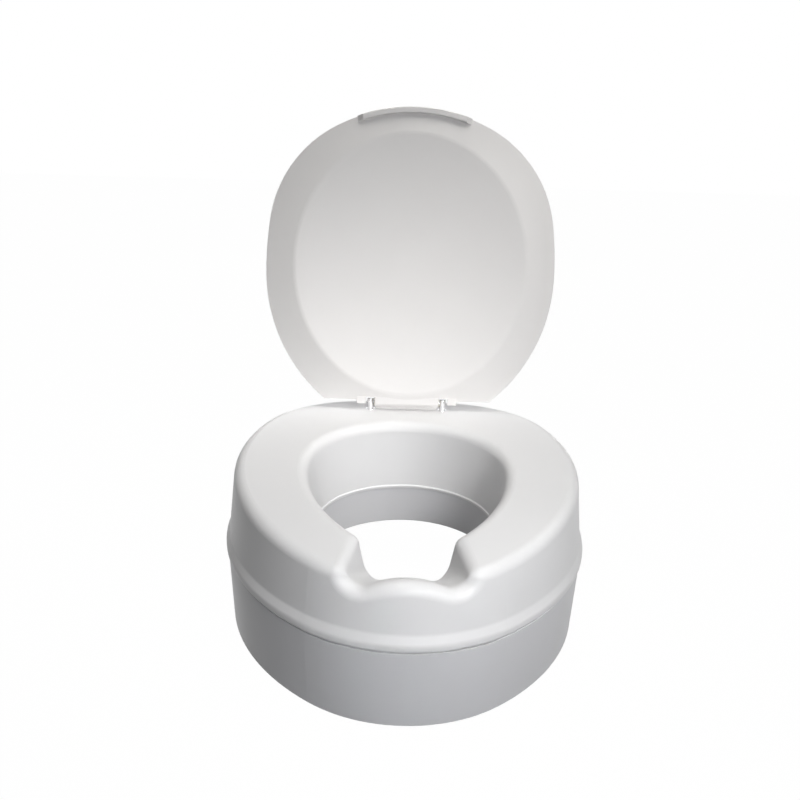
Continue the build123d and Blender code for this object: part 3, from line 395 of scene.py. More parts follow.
class Studio:
    """Floor, backdrop and lamps."""

    WORLD_DIFFUSE = 0.01            # light that the room throws back
    FLOOR_HALF = 4.0
    FLOOR_TONE = 0.14               # as the object sees the floor
    FLOOR_GLOW = 1.055              # brings the floor up to the background
    FLOOR_GLOW_SHARE = 0.94         # the rest shows the object's shadow

    def build(self) -> None:
        """Make the whole studio."""
        scene = bpy.context.scene
        scene.view_settings.view_transform = "Standard"
        scene.view_settings.look = "None"
        self._world()
        self._floor()
        for lamp in LAMPS:
            lamp.build()

    @staticmethod
    def _seen(nodes: NodeTree, path: bpy.types.Node) -> bpy.types.NodeSocket:
        """One for the rays that show the white background, by sight, in gloss or through glass.

        Args:
            nodes: the tree that gets the nodes.
            path: its Light Path node.
        """
        through = nodes.math("MAXIMUM", path.outputs["Is Transmission Ray"], path.outputs["Is Glossy Ray"])
        return nodes.math("MAXIMUM", through, path.outputs["Is Camera Ray"])

    def _world(self) -> None:
        """White behind the object, a nearly dark room for everything else."""
        world = bpy.data.worlds.new("studio")
        bpy.context.scene.world = world
        nodes = blank_tree(world)
        path = nodes.add("ShaderNodeLightPath")
        level = nodes.math("MAXIMUM", self.WORLD_DIFFUSE, self._seen(nodes, path))
        background = nodes.add("ShaderNodeBackground")
        background.inputs["Color"].default_value = WHITE
        nodes.link(level, background.inputs["Strength"])
        output = nodes.add("ShaderNodeOutputWorld")
        nodes.link(background.outputs[0], output.inputs["Surface"])

    def _floor(self) -> None:
        """Plain pale floor, nearly white to the camera and dim to the object."""
        mesh = bpy.data.meshes.new("floor")
        half = self.FLOOR_HALF
        corners = [(-half, -half, 0), (half, -half, 0), (half, half, 0), (-half, half, 0)]
        mesh.from_pydata(corners, [], [(0, 1, 2, 3)])
        floor = add_object("floor", mesh)
        material = bpy.data.materials.new("pale_floor")
        nodes = blank_tree(material)
        path = nodes.add("ShaderNodeLightPath")
        diffuse = nodes.add("ShaderNodeBsdfDiffuse")
        diffuse.inputs["Color"].default_value = (self.FLOOR_TONE,) * 3 + (1.0,)
        glow = nodes.add("ShaderNodeEmission")
        glow.inputs["Color"].default_value = WHITE
        glow.inputs["Strength"].default_value = self.FLOOR_GLOW
        mix = nodes.add("ShaderNodeMixShader")
        nodes.link(nodes.math("MULTIPLY", self._seen(nodes, path), self.FLOOR_GLOW_SHARE), mix.inputs["Fac"])
        nodes.link(diffuse.outputs[0], mix.inputs[1])
        nodes.link(glow.outputs[0], mix.inputs[2])
        output = nodes.add("ShaderNodeOutputMaterial")
        nodes.link(mix.outputs[0], output.inputs["Surface"])
        mesh.materials.append(material)


# ---------------------------------------------------------------- mesh helpers
@dataclass(frozen=True)
class Place:
    """Box of one loose solid inside a CAD node."""

    low: Vector
    high: Vector

    @property
    def centre(self) -> Vector:
        """Middle of the box."""
        return (self.low + self.high) / 2

    @property
    def height(self) -> float:
        """Height of the box."""
        return self.high.z - self.low.z

    def foot(self, rise: float = 0.0) -> Vector:
        """Middle of the bottom face, or a point above it."""
        return Vector((self.centre.x, self.centre.y, self.low.z + rise))


def loose_solids(node: bpy.types.Object) -> list[Place]:
    """Boxes of the separate solids in a CAD node.

    Args:
        node: a CAD node of the frame.

    Returns:
        One place for each solid, from left to right and front to back.
    """
    work = bmesh.new()
    work.from_mesh(node.data)
    bmesh.ops.remove_doubles(work, verts=work.verts, dist=1e-6)
    places, seen = [], set()
    for start in work.verts:
        if start in seen:
            continue
        seen.add(start)
        stack, corners = [start], []
        while stack:
            vert = stack.pop()
            corners.append(vert.co)
            for edge in vert.link_edges:
                other = edge.other_vert(vert)
                if other not in seen:
                    seen.add(other)
                    stack.append(other)
        low = Vector(min(c[axis] for c in corners) for axis in range(3))
        high = Vector(max(c[axis] for c in corners) for axis in range(3))
        places.append(Place(low, high))
    work.free()
    return sorted(places, key=lambda p: (round(p.centre.x, 4), round(p.centre.y, 4)))


def rounded(corners: Sequence[tuple[float, float, float]], steps: int = 5) -> list[tuple[float, float]]:
    """Line through corners, each rounded by its own radius.

    Args:
        corners: rows of first coordinate, second coordinate and radius.
        steps: segments in each rounded corner.

    Returns:
        Points along the line.
    """
    line = []
    for index, (x, y, radius) in enumerate(corners):
        if radius <= 0 or index in (0, len(corners) - 1):
            line.append((x, y))
            continue
        here = Vector((x, y))
        before = (Vector(corners[index - 1][:2]) - here).normalized()
        after = (Vector(corners[index + 1][:2]) - here).normalized()
        half = before.angle(after) / 2
        centre = here + (before + after).normalized() * (radius / math.sin(half))
        start = here + before * (radius / math.tan(half)) - centre
        end = here + after * (radius / math.tan(half)) - centre
        turn = start.angle_signed(end)
        for step in range(steps + 1):
            spoke = start.copy()
            spoke.rotate(Matrix.Rotation(-turn * step / steps, 2))
            line.append(tuple(centre + spoke))
    return line


def skin(work: bmesh.types.BMesh, rows: Iterable[tuple[Sequence, Sequence]]) -> None:
    """Quads between pairs of closed rows of points.

    Args:
        work: the working mesh that holds the points.
        rows: pairs of rows with the same number of points.
    """
    for first, second in rows:
        for index, corner in enumerate(first):
            other = (index + 1) % len(first)
            work.faces.new((corner, first[other], second[other], second[index]))


def finish_mesh(work: bmesh.types.BMesh, name: str, sharp: float = SHARP_ANGLE) -> bpy.types.Mesh:
    """Turn a working mesh into a plain one with outward faces and smooth shading.

    Args:
        work: the working mesh, which is freed.
        name: name of the new mesh.
        sharp: edges that turn by more degrees than this stay sharp.
    """
    bmesh.ops.remove_doubles(work, verts=work.verts, dist=1e-7)
    bmesh.ops.recalc_face_normals(work, faces=work.faces)
    mesh = bpy.data.meshes.new(name)
    work.to_mesh(mesh)
    work.free()
    return shaded(mesh, sharp)


def lathe(name: str, outline: Sequence[tuple[float, float]], steps: int = 48,
          closed: bool = False) -> bpy.types.Mesh:
    """Turn an outline of radius and height round +Z.

    Args:
        name: name of the mesh.
        outline: points of radius and height.
        steps: facets round the axis.
        closed: whether the outline's end joins its start, as for a ring.
    """
    work = bmesh.new()
    rings = []
    for radius, height in outline:
        if radius < 1e-7:
            rings.append([work.verts.new((0.0, 0.0, height))] * steps)
        else:
            rings.append([work.verts.new((radius * math.cos(a), radius * math.sin(a), height))
                          for a in (math.tau * step / steps for step in range(steps))])
    pairs = list(zip(rings, rings[1:])) + ([(rings[-1], rings[0])] if closed else [])
    for first, second in pairs:
        for step in range(steps):
            following = (step + 1) % steps
            corners = []
            for vert in (first[step], first[following], second[following], second[step]):
                if vert not in corners:
                    corners.append(vert)
            if len(corners) > 2:
                work.faces.new(corners)
    return finish_mesh(work, name)


def joined(name: str, parts: Iterable[tuple[bpy.types.Mesh, Matrix]]) -> bpy.types.Mesh:
    """Several meshes in one, each at its own place; the separate meshes are removed.

    Args:
        name: name of the new mesh.
        parts: rows of a mesh and the matrix that places it.
    """
    work = bmesh.new()
    for mesh, matrix in parts:
        mesh = mesh.copy()
        mesh.transform(matrix)
        work.from_mesh(mesh)
        bpy.data.meshes.remove(mesh)
    result = bpy.data.meshes.new(name)
    work.to_mesh(result)
    work.free()
    return shaded(result)


def carve(mesh: bpy.types.Mesh, cutter: bpy.types.Mesh) -> bpy.types.Mesh:
    """Take one closed mesh away from another.

    Args:
        mesh: the solid that is kept.
        cutter: the solid that is taken away.

    Returns:
        The carved mesh.
    """
    body, tool = add_object("carved", mesh), add_object("cutter", cutter)
    modifier = body.modifiers.new("carve", "BOOLEAN")
    modifier.operation, modifier.solver, modifier.object = "DIFFERENCE", "EXACT", tool
    graph = bpy.context.evaluated_depsgraph_get()
    result = bpy.data.meshes.new_from_object(body.evaluated_get(graph))
    for item in (body, tool):
        bpy.data.objects.remove(item)
    return shaded(result)


def block(name: str, low: Sequence[float], high: Sequence[float], taper: float = 1.0) -> bpy.types.Mesh:
    """Block between two corners, narrower at the top by a share.

    Args:
        name: name of the mesh.
        low: lowest corner.
        high: highest corner.
        taper: size of the top face over the size of the bottom face.
    """
    work = bmesh.new()
    across, along = (low[0] + high[0]) / 2, (low[1] + high[1]) / 2
    corners = ((low[0], low[1]), (high[0], low[1]), (high[0], high[1]), (low[0], high[1]))
    rows = []
    for z, share in ((low[2], 1.0), (high[2], taper)):
        rows.append([work.verts.new((across + (x - across) * share, along + (y - along) * share, z))
                     for x, y in corners])
    work.faces.new(reversed(rows[0]))
    work.faces.new(rows[1])
    skin(work, [rows])
    return finish_mesh(work, name)


def hexagon_nut(name: str, flats: float, height: float, bore: float, thread: float,
                pitch: float) -> bpy.types.Mesh:
    """Hexagon nut with chamfered corners and a threaded bore, standing on Z = 0.

    Args:
        name: name of the mesh.
        flats: width across the flats.
        height: thickness.
        bore: radius at the thread's crests.
        thread: depth of the thread.
        pitch: rise of the thread in one turn.
    """
    steps, slices = 72, 24
    bearing = flats / 2 * 0.96
    work, rows = bmesh.new(), []
    levels = [thread + (height - 2 * thread) * i / slices for i in range(slices + 1)]

    def ring(radius_at: Callable[[float], float], height_at: Callable[[float], float]) -> None:
        """Add one row of points round the axis."""
        row = []
        for step in range(steps):
            angle = math.tau * step / steps
            radius = radius_at(angle)
            row.append(work.verts.new((radius * math.cos(angle), radius * math.sin(angle), height_at(radius))))
        rows.append(row)

    def corner(angle: float) -> float:
        """Radius of the hexagon at an angle."""
        turn = angle % (math.pi / 3) - math.pi / 6
        return flats / 2 / math.cos(turn)

    slope = math.tan(math.radians(30))
    ring(lambda a: bore + thread, lambda r: 0.0)
    ring(lambda a: bearing, lambda r: 0.0)
    ring(corner, lambda r: (r - bearing) * slope)
    ring(corner, lambda r: height - (r - bearing) * slope)
    ring(lambda a: bearing, lambda r: height)
    ring(lambda a: bore + thread, lambda r: height)
    for level in reversed(levels):
        def wall(angle: float, z: float = level) -> float:
            """Radius of the threaded bore."""
            phase = (z / pitch - angle / math.tau) % 1.0
            return bore + thread * abs(2 * phase - 1)
        ring(wall, lambda r, z=level: z)
    skin(work, zip(rows, rows[1:] + rows[:1]))
    return finish_mesh(work, name, 25.0)


# ---------------------------------------------------------------- Geometry Nodes
class ShapeTree(NodeTree):
    """Geometry Nodes tree with named inputs, which ends in real geometry with its material."""

    def __init__(self, name: str, inputs: Mapping[str, str]) -> None:
        tree = bpy.data.node_groups.new(name, "GeometryNodeTree")
        super().__init__(tree)
        tree.interface.new_socket("Geometry", in_out="OUTPUT", socket_type="NodeSocketGeometry")
        tree.interface.new_socket("Geometry", in_out="INPUT", socket_type="NodeSocketGeometry")
        self.keys = {}
        for label, kind in {**inputs, "Material": "NodeSocketMaterial"}.items():
            self.keys[label] = tree.interface.new_socket(label, in_out="INPUT", socket_type=kind).identifier
        self.inlet, self.outlet = self.add("NodeGroupInput"), self.add("NodeGroupOutput")

    def close(self, geometry: bpy.types.NodeSocket) -> None:
        """Realise the result, give it its material and send it out."""
        real, paint = self.add("GeometryNodeRealizeInstances"), self.add("GeometryNodeSetMaterial")
        self.link(geometry, real.inputs["Geometry"])
        self.link(real.outputs["Geometry"], paint.inputs["Geometry"])
        self.link(self.inlet.outputs["Material"], paint.inputs["Material"])
        self.link(paint.outputs["Geometry"], self.outlet.inputs["Geometry"])

    def run(self, name: str, base: bpy.types.Mesh, values: Mapping[str, object]) -> bpy.types.Mesh:
        """Apply the tree to a mesh and keep the result as a plain mesh.

        Args:
            name: name of the new mesh.
            base: the mesh that the tree starts from.
            values: a value for each named input.

        Returns:
            The plain mesh.
        """
        carrier = add_object(name + "_carrier", base)
        modifier = carrier.modifiers.new(self.tree.name, "NODES")
        modifier.node_group = self.tree
        for label, value in values.items():
            modifier[self.keys[label]] = value
        graph = bpy.context.evaluated_depsgraph_get()
        mesh = bpy.data.meshes.new_from_object(carrier.evaluated_get(graph))
        carrier.modifiers.clear()
        bpy.data.objects.remove(carrier)
        mesh.name = name
        return shaded(mesh)


class ThreadTree(ShapeTree):
    """Rod along Z with a screw thread that runs out at both ends."""

    def __init__(self) -> None:
        number, whole = "NodeSocketFloat", "NodeSocketInt"
        super().__init__("thread", {"Crest Radius": number, "Root Radius": number, "Length": number,
                                    "Pitch": number, "Sides": whole, "Rows": whole})
        value = self.inlet.outputs
        rod = self.add("GeometryNodeMeshCylinder", fill_type="TRIANGLE_FAN")
        self.link(value["Sides"], rod.inputs["Vertices"])
        self.link(value["Rows"], rod.inputs["Side Segments"])
        self.link(value["Crest Radius"], rod.inputs["Radius"])
        self.link(value["Length"], rod.inputs["Depth"])
        place, parts = self.add("GeometryNodeInputPosition"), self.add("ShaderNodeSeparateXYZ")
        self.link(place.outputs[0], parts.inputs[0])
        turn = self.math("DIVIDE", self.math("ARCTAN2", parts.outputs["Y"], parts.outputs["X"]), math.tau)
        phase = self.math("SUBTRACT", self.math("DIVIDE", parts.outputs["Z"], value["Pitch"]), turn)
        ridge = self.math("MULTIPLY", self.math("PINGPONG", phase, 0.5), 2.0)
        end = self.math("SUBTRACT", self.math("MULTIPLY", value["Length"], 0.5),
                        self.math("ABSOLUTE", parts.outputs["Z"]))
        fade = self.math("MINIMUM", self.math("DIVIDE", end, value["Pitch"]), 1.0)
        share = self.math("DIVIDE", value["Root Radius"], value["Crest Radius"])
        depth = self.math("SUBTRACT", 1.0, share)
        scale = self.math("ADD", share, self.math("MULTIPLY", depth, self.math("MULTIPLY", ridge, fade)))
        moved = self.add("ShaderNodeCombineXYZ")
        self.link(self.math("MULTIPLY", parts.outputs["X"], scale), moved.inputs["X"])
        self.link(self.math("MULTIPLY", parts.outputs["Y"], scale), moved.inputs["Y"])
        self.link(parts.outputs["Z"], moved.inputs["Z"])
        shift = self.add("GeometryNodeSetPosition")
        self.link(rod.outputs["Mesh"], shift.inputs["Geometry"])
        self.link(moved.outputs[0], shift.inputs["Position"])
        self.close(shift.outputs["Geometry"])

    def rod(self, crest: float, root: float, length: float, pitch: float, material: bpy.types.Material,
            sides: int = 24) -> bpy.types.Mesh:
        """Threaded rod that starts at Z = 0 and runs up.

        Args:
            crest: outer radius.
            root: radius in the groove.
            length: length of the rod.
            pitch: rise of the thread in one turn.
            material: its finish.
            sides: facets round the rod.
        """
        empty = bpy.data.meshes.new("thread_base")
        mesh = self.run("thread", empty, {
            "Crest Radius": crest, "Root Radius": root, "Length": length, "Pitch": pitch, "Sides": sides,
            "Rows": max(8, round(length / pitch * 6)), "Material": material})
        mesh.transform(Matrix.Translation((0, 0, length / 2)))
        return mesh


class ScatterTree(ShapeTree):
    """Puts a prototype on every point, turned by each point's own heading."""

    HEADING = "heading"

    def __init__(self) -> None:
        super().__init__("scatter", {"Prototype": "NodeSocketObject"})
        source = self.add("GeometryNodeObjectInfo", transform_space="ORIGINAL")
        self.link(self.inlet.outputs["Prototype"], source.inputs["Object"])
        heading = self.add("GeometryNodeInputNamedAttribute", data_type="FLOAT")
        heading.inputs["Name"].default_value = self.HEADING
        turn = self.add("ShaderNodeCombineXYZ")
        self.link(heading.outputs["Attribute"], turn.inputs["Z"])
        copies = self.add("GeometryNodeInstanceOnPoints")
        self.link(self.inlet.outputs["Geometry"], copies.inputs["Points"])
        self.link(source.outputs["Geometry"], copies.inputs["Instance"])
        self.link(turn.outputs[0], copies.inputs["Rotation"])
        self.close(copies.outputs["Instances"])

    def spread(self, name: str, prototype: bpy.types.Mesh, spots: Sequence[tuple[Vector, float]],
               material: bpy.types.Material) -> bpy.types.Mesh:
        """One mesh with a copy of the prototype at each spot.

        Args:
            name: name of the new mesh.
            prototype: the mesh to repeat.
            spots: rows of a point and a heading round +Z, in radians.
            material: finish of the copies.
        """
        base = bpy.data.meshes.new(name + "_spots")
        base.from_pydata([tuple(point) for point, _ in spots], [], [])
        attribute = base.attributes.new(self.HEADING, "FLOAT", "POINT")
        attribute.data.foreach_set("value", [heading for _, heading in spots])
        model = add_object(name + "_prototype", prototype)
        mesh = self.run(name, base, {"Prototype": model, "Material": material})
        bpy.data.objects.remove(model)
        return mesh


# ---------------------------------------------------------------- pieces
def quadrant(point: Vector) -> tuple[int, int]:
    """Signs of a point's X and Y."""
    return (1 if point.x > 0 else -1, 1 if point.y > 0 else -1)


@dataclass
class Bench:
    """What every sub-assembly needs: the CAD nodes, the finishes and the shared trees."""

    nodes: dict[str, bpy.types.Object]
    slots: dict[str, str]
    bodies: dict[str, str]
    finishes: FinishLibrary
    threads: ThreadTree
    scatter: ScatterTree

    def finish_of(self, node: str) -> bpy.types.Material:
        """Finish of a CAD node's slot."""
        return self.finishes.get(self.slots[node])

    def dress(self) -> None:
        """Give every CAD node the finish of its slot."""
        for name, node in self.nodes.items():
            material = self.finish_of(name)
            if not node.data.materials:
                node.data.materials.append(material)
            for slot in node.material_slots:
                slot.material = material

    def place(self, mesh: bpy.types.Mesh, name: str, *stands_for: str) -> bpy.types.Object:
        """Add a finished piece that stands for CAD nodes of one body.

        Args:
            mesh: the piece's mesh, in the row frame.
            name: name of the piece.
            *stands_for: the CAD nodes that it replaces.

        Returns:
            The new object.
        """
        mesh.name = name
        mesh.materials.clear()
        mesh.materials.append(self.finish_of(stands_for[0]))
        piece = add_object(name, mesh)
        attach(piece, self.bodies[stands_for[0]])
        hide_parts(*stands_for)
        LOG.info("%s: %d faces", name, len(mesh.polygons))
        return piece

    def repeat(self, prototype: bpy.types.Mesh, name: str, node: str,
               spots: Sequence[tuple[Vector, float]]) -> None:
        """Add a piece made of copies of one mesh, for a CAD node that holds several like solids.

        Args:
            prototype: the mesh to repeat.
            name: name of the piece.
            node: the CAD node that it replaces.
            spots: rows of a point and a heading round +Z, in radians.
        """
        self.place(self.scatter.spread(name, prototype, spots, self.finish_of(node)), name, node)


@dataclass
class ShellScrews:
    """Pan-head screws that hold the two mouldings together, driven from below."""

    head_radius: float = 0.00475
    head_height: float = 0.0034
    crest_radius: float = 0.0023
    core_radius: float = 0.0017
    pitch: float = 0.0018
    recess_span: float = 0.0046
    recess_width: float = 0.0010
    recess_depth: float = 0.0018
    recess_taper: float = 0.62
    turn_step: float = 0.7          # radians from one driven screw to the next

    def head(self) -> bpy.types.Mesh:
        """Domed head under Z = 0 with a cross recess."""
        radius, height = self.head_radius, self.head_height
        outline = rounded([(0.0, -height, 0.0), (radius * 0.86, -height * 0.96, 0.0016),
                           (radius, -height * 0.25, 0.0008), (radius * 0.98, 0.0, 0.0003), (0.0, 0.0, 0.0)], 6)
        mesh = lathe("pan_head", outline, 40)
        half = (self.recess_span / 2, self.recess_width / 2)
        for x, y in (half, half[::-1]):
            mesh = carve(mesh, block("recess", (-x, -y, -height - 0.0006), (x, y, -height + self.recess_depth),
                                     self.recess_taper))
        return mesh

    def build(self, bench: Bench) -> None:
        """Make the screws at the places of their CAD solids."""
        places = loose_solids(bench.nodes["shell_screws"])
        steel = bench.finish_of("shell_screws")
        length = places[0].height - self.head_height
        thread = bench.threads.rod(self.crest_radius, self.core_radius, length, self.pitch, steel)
        screw = joined("shell_screw", [(self.head(), Matrix()), (thread, Matrix.Translation((0, 0, -OVERLAP)))])
        spots = [(p.foot(self.head_height), self.turn_step * index) for index, p in enumerate(places)]
        bench.repeat(screw, "shell_screw_set", "shell_screws", spots)


@dataclass
class BracketClamps:
    """Slotted low-head screws and hexagon nuts that clamp the centring brackets."""

    head_radius: float = 0.005
    head_height: float = 0.0017
    crest_radius: float = 0.0025
    root_radius: float = 0.0021
    pitch: float = 0.0008
    slot_width: float = 0.0014
    slot_depth: float = 0.0009
    nut_flats: float = 0.008
    nut_height: float = 0.004
    nut_thread: float = 0.0004
    slot_turn: float = 0.5          # radians from the bracket's heading to the slot

    def screw(self, length: float, steel: bpy.types.Material, bench: Bench) -> bpy.types.Mesh:
        """Screw with its head's bearing face at Z = 0 and its thread upwards.

        Args:
            length: length under the head.
            steel: its finish.
            bench: shared trees.
        """
        radius, height = self.head_radius, self.head_height
        outline = rounded([(0.0, -height, 0.0), (radius * 0.93, -height, 0.0004),
                           (radius, -height * 0.6, 0.0004), (radius, 0.0, 0.0002), (0.0, 0.0, 0.0)], 4)
        cutter = block("slot", (-radius * 1.2, -self.slot_width / 2, -height * 1.4),
                       (radius * 1.2, self.slot_width / 2, -height + self.slot_depth))
        head = carve(lathe("low_head", outline, 48), cutter)
        thread = bench.threads.rod(self.crest_radius, self.root_radius, length, self.pitch, steel)
        return joined("clamp_screw", [(head, Matrix()), (thread, Matrix.Translation((0, 0, -OVERLAP)))])

    def build(self, bench: Bench, headings: Mapping[tuple[int, int], float]) -> None:
        """Make the screws and nuts.

        Args:
            bench: nodes, finishes and trees.
            headings: outward heading of each bracket by the signs of its X and Y.
        """
        places = loose_solids(bench.nodes["bracket_screws"])
        steel = bench.finish_of("bracket_screws")
        spots = [(p.foot(self.head_height), headings[quadrant(p.centre)] + self.slot_turn) for p in places]
        screw = self.screw(places[0].height - self.head_height, steel, bench)
        bench.repeat(screw, "clamp_screw_set", "bracket_screws", spots)
        nut = hexagon_nut("clamp_nut", self.nut_flats, self.nut_height, self.crest_radius + THREAD_CLEARANCE,
                          self.nut_thread, self.pitch)
        spots = [(p.foot(), headings[quadrant(p.centre)]) for p in loose_solids(bench.nodes["bracket_nuts"])]
        bench.repeat(nut, "clamp_nut_set", "bracket_nuts", spots)


@dataclass
class HingeHardware:
    """Plated posts, their nuts and washers, the pin and the nylon bushes."""

    post_radius: float = 0.004
    top_edge: float = 0.0011
    crown: float = 0.0003
    neck_depth: float = 0.0003
    neck_width: float = 0.0008
    neck_drop: float = 0.0022
    flange_radius: float = 0.0055
    flange_height: float = 0.0007
    stud_radius: float = 0.003
    stud_root: float = 0.00255
    stud_pitch: float = 0.001
    washer_radius: float = 0.007
    washer_bore: float = 0.0032
    washer_edge: float = 0.0002
    nut_flats: float = 0.010
    nut_thread: float = 0.00045
    nut_turn: float = 0.35          # radians from one nut's flats to the next
    pin_radius: float = 0.0025
    bush_radius: float = 0.00405
    bush_bore: float = 0.00255
    bush_flange_radius: float = 0.0054
    bush_flange: float = 0.0012
    bush_edge: float = 0.0003

    def post(self, bench: Bench, node: str) -> None:
        """Straight post with a fine turned neck, a low flange and a threaded stud.

        Args:
            bench: nodes, finishes and trees.
            node: the CAD node that the post stands for.
        """
        low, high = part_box(node)
        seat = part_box("seat_shell")[1].z
        top, foot, radius = high.z - seat, seat - low.z, self.post_radius
        neck, waist = top - self.neck_drop - self.neck_width, radius - self.neck_depth
        outline = rounded([
            (0.0, top, 0.0), (radius * 0.6, top - self.crown * 0.4, 0.0005),
            (radius, top - self.crown, self.top_edge), (radius, neck + self.neck_width, 0.00015),
            (waist, neck + self.neck_width * 0.7, 0.0001), (waist, neck + self.neck_width * 0.3, 0.0001),
            (radius, neck, 0.00015),
            (radius, self.flange_height, 0.0003), (self.flange_radius, self.flange_height, 0.0004),
            (self.flange_radius, 0.0, 0.0001), (0.0, 0.0, 0.0)], 8)
        chrome = bench.finish_of(node)
        stud = bench.threads.rod(self.stud_radius, self.stud_root, foot, self.stud_pitch, chrome, 32)
        mesh = joined(node, [(lathe("post", outline, 64), Matrix()),
                             (stud, Matrix.Translation((0, 0, -foot + OVERLAP)))])
        middle = (low + high) / 2
        mesh.transform(Matrix.Translation((middle.x, middle.y, seat)))
        bench.place(mesh, "plated_" + node, node)

    def under_parts(self, bench: Bench) -> None:
        """Washers and nuts on the studs under the seat."""
        places = loose_solids(bench.nodes["hinge_washers"])
        height, edge = places[0].height, self.washer_edge
        ring = rounded([(self.washer_radius - 0.002, 0.0, 0.0), (self.washer_radius, 0.0, edge),
                        (self.washer_radius, height, edge), (self.washer_bore, height, edge),
                        (self.washer_bore, 0.0, edge), (self.washer_radius - 0.002, 0.0, 0.0)], 3)
        washer = lathe("washer", ring[:-1], 56, closed=True)
        bench.repeat(washer, "hinge_washer_set", "hinge_washers", [(p.foot(), 0.0) for p in places])
        places = loose_solids(bench.nodes["hinge_nuts"])
        nut = hexagon_nut("hinge_nut", self.nut_flats, places[0].height, self.stud_radius + THREAD_CLEARANCE,
                          self.nut_thread, self.stud_pitch)
        spots = [(p.foot(), self.nut_turn * index) for index, p in enumerate(places, 1)]
        bench.repeat(nut, "hinge_nut_set", "hinge_nuts", spots)

    def pin(self, bench: Bench) -> None:
        """Rod from post to post with rounded ends."""
        low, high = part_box("hinge_pin")
        half, radius = (high.x - low.x) / 2, self.pin_radius
        outline = rounded([(0.0, -half, 0.0), (radius * 0.55, -half, 0.0002), (radius, -half + 0.0006, 0.0005),
                           (radius, 0.0, 0.0), (radius, half - 0.0006, 0.0005), (radius * 0.55, half, 0.0002),
                           (0.0, half, 0.0)], 4)
        mesh = lathe("pin", outline, 48)
        mesh.transform(Matrix.Translation((low + high) / 2) @ Matrix.Rotation(math.pi / 2, 4, "Y"))
        bench.place(mesh, "drawn_hinge_pin", "hinge_pin")

    def bush(self, bench: Bench, node: str, side: int) -> None:
        """Flanged bush with softened edges.

        Args:
            bench: nodes, finishes and trees.
            node: the CAD node that the bush stands for.
            side: -1 for the left bush and 1 for the right one.
        """
        low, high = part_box(node)
        length, edge = high.x - low.x, self.bush_edge
        outline = rounded([
            (self.bush_radius, length / 2, 0.0), (self.bush_radius, 0.0, edge), (self.bush_bore, 0.0, edge),
            (self.bush_bore, length, edge), (self.bush_flange_radius, length, edge),
            (self.bush_flange_radius, length - self.bush_flange, edge),
            (self.bush_radius, length - self.bush_flange, 0.0002), (self.bush_radius, length / 2, 0.0)], 3)
        mesh = lathe("bush", outline[:-1], 48, closed=True)
        middle = (low + high) / 2
        start = Vector((low.x if side > 0 else high.x, middle.y, middle.z))
        mesh.transform(Matrix.Translation(start) @ Matrix.Rotation(side * math.pi / 2, 4, "Y"))
        bench.place(mesh, "nylon_" + node, node)

    def build(self, bench: Bench) -> None:
        """Make all the hinge's small parts."""
        for side, label in ((-1, "left"), (1, "right")):
            self.post(bench, f"hinge_post_{label}")
            self.bush(bench, f"hinge_bush_{label}", side)
        self.under_parts(bench)
        self.pin(bench)


@dataclass
class Outline:
    """Arcs of the body's plan, as the CAD model draws them, in the row frame."""

    half_width: float = 0.200
    front_reach: float = 0.242
    rear_reach: float = 0.194
    front_radius: float = 0.1565
    side_radius: float = 0.271
    rear_radius: float = 0.142
    shift: float = field(init=False)

    def __post_init__(self) -> None:
        self.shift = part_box("seat_shell")[0].y + self.front_reach

    def arcs(self) -> dict[str, tuple[Vector, float]]:
        """Centre and radius of the right half's arcs by name."""
        front_y = self.front_radius - self.front_reach
        side_x = self.half_width - self.side_radius
        side_y = front_y + math.sqrt((self.side_radius - self.front_radius) ** 2 - side_x ** 2)
        rear_y = self.rear_reach - self.rear_radius
        rear_x = side_x + math.sqrt((self.side_radius - self.rear_radius) ** 2 - (side_y - rear_y) ** 2)
        return {"front": (Vector((0.0, front_y + self.shift)), self.front_radius),
                "side": (Vector((side_x, side_y + self.shift)), self.side_radius),
                "rear": (Vector((rear_x, rear_y + self.shift)), self.rear_radius)}


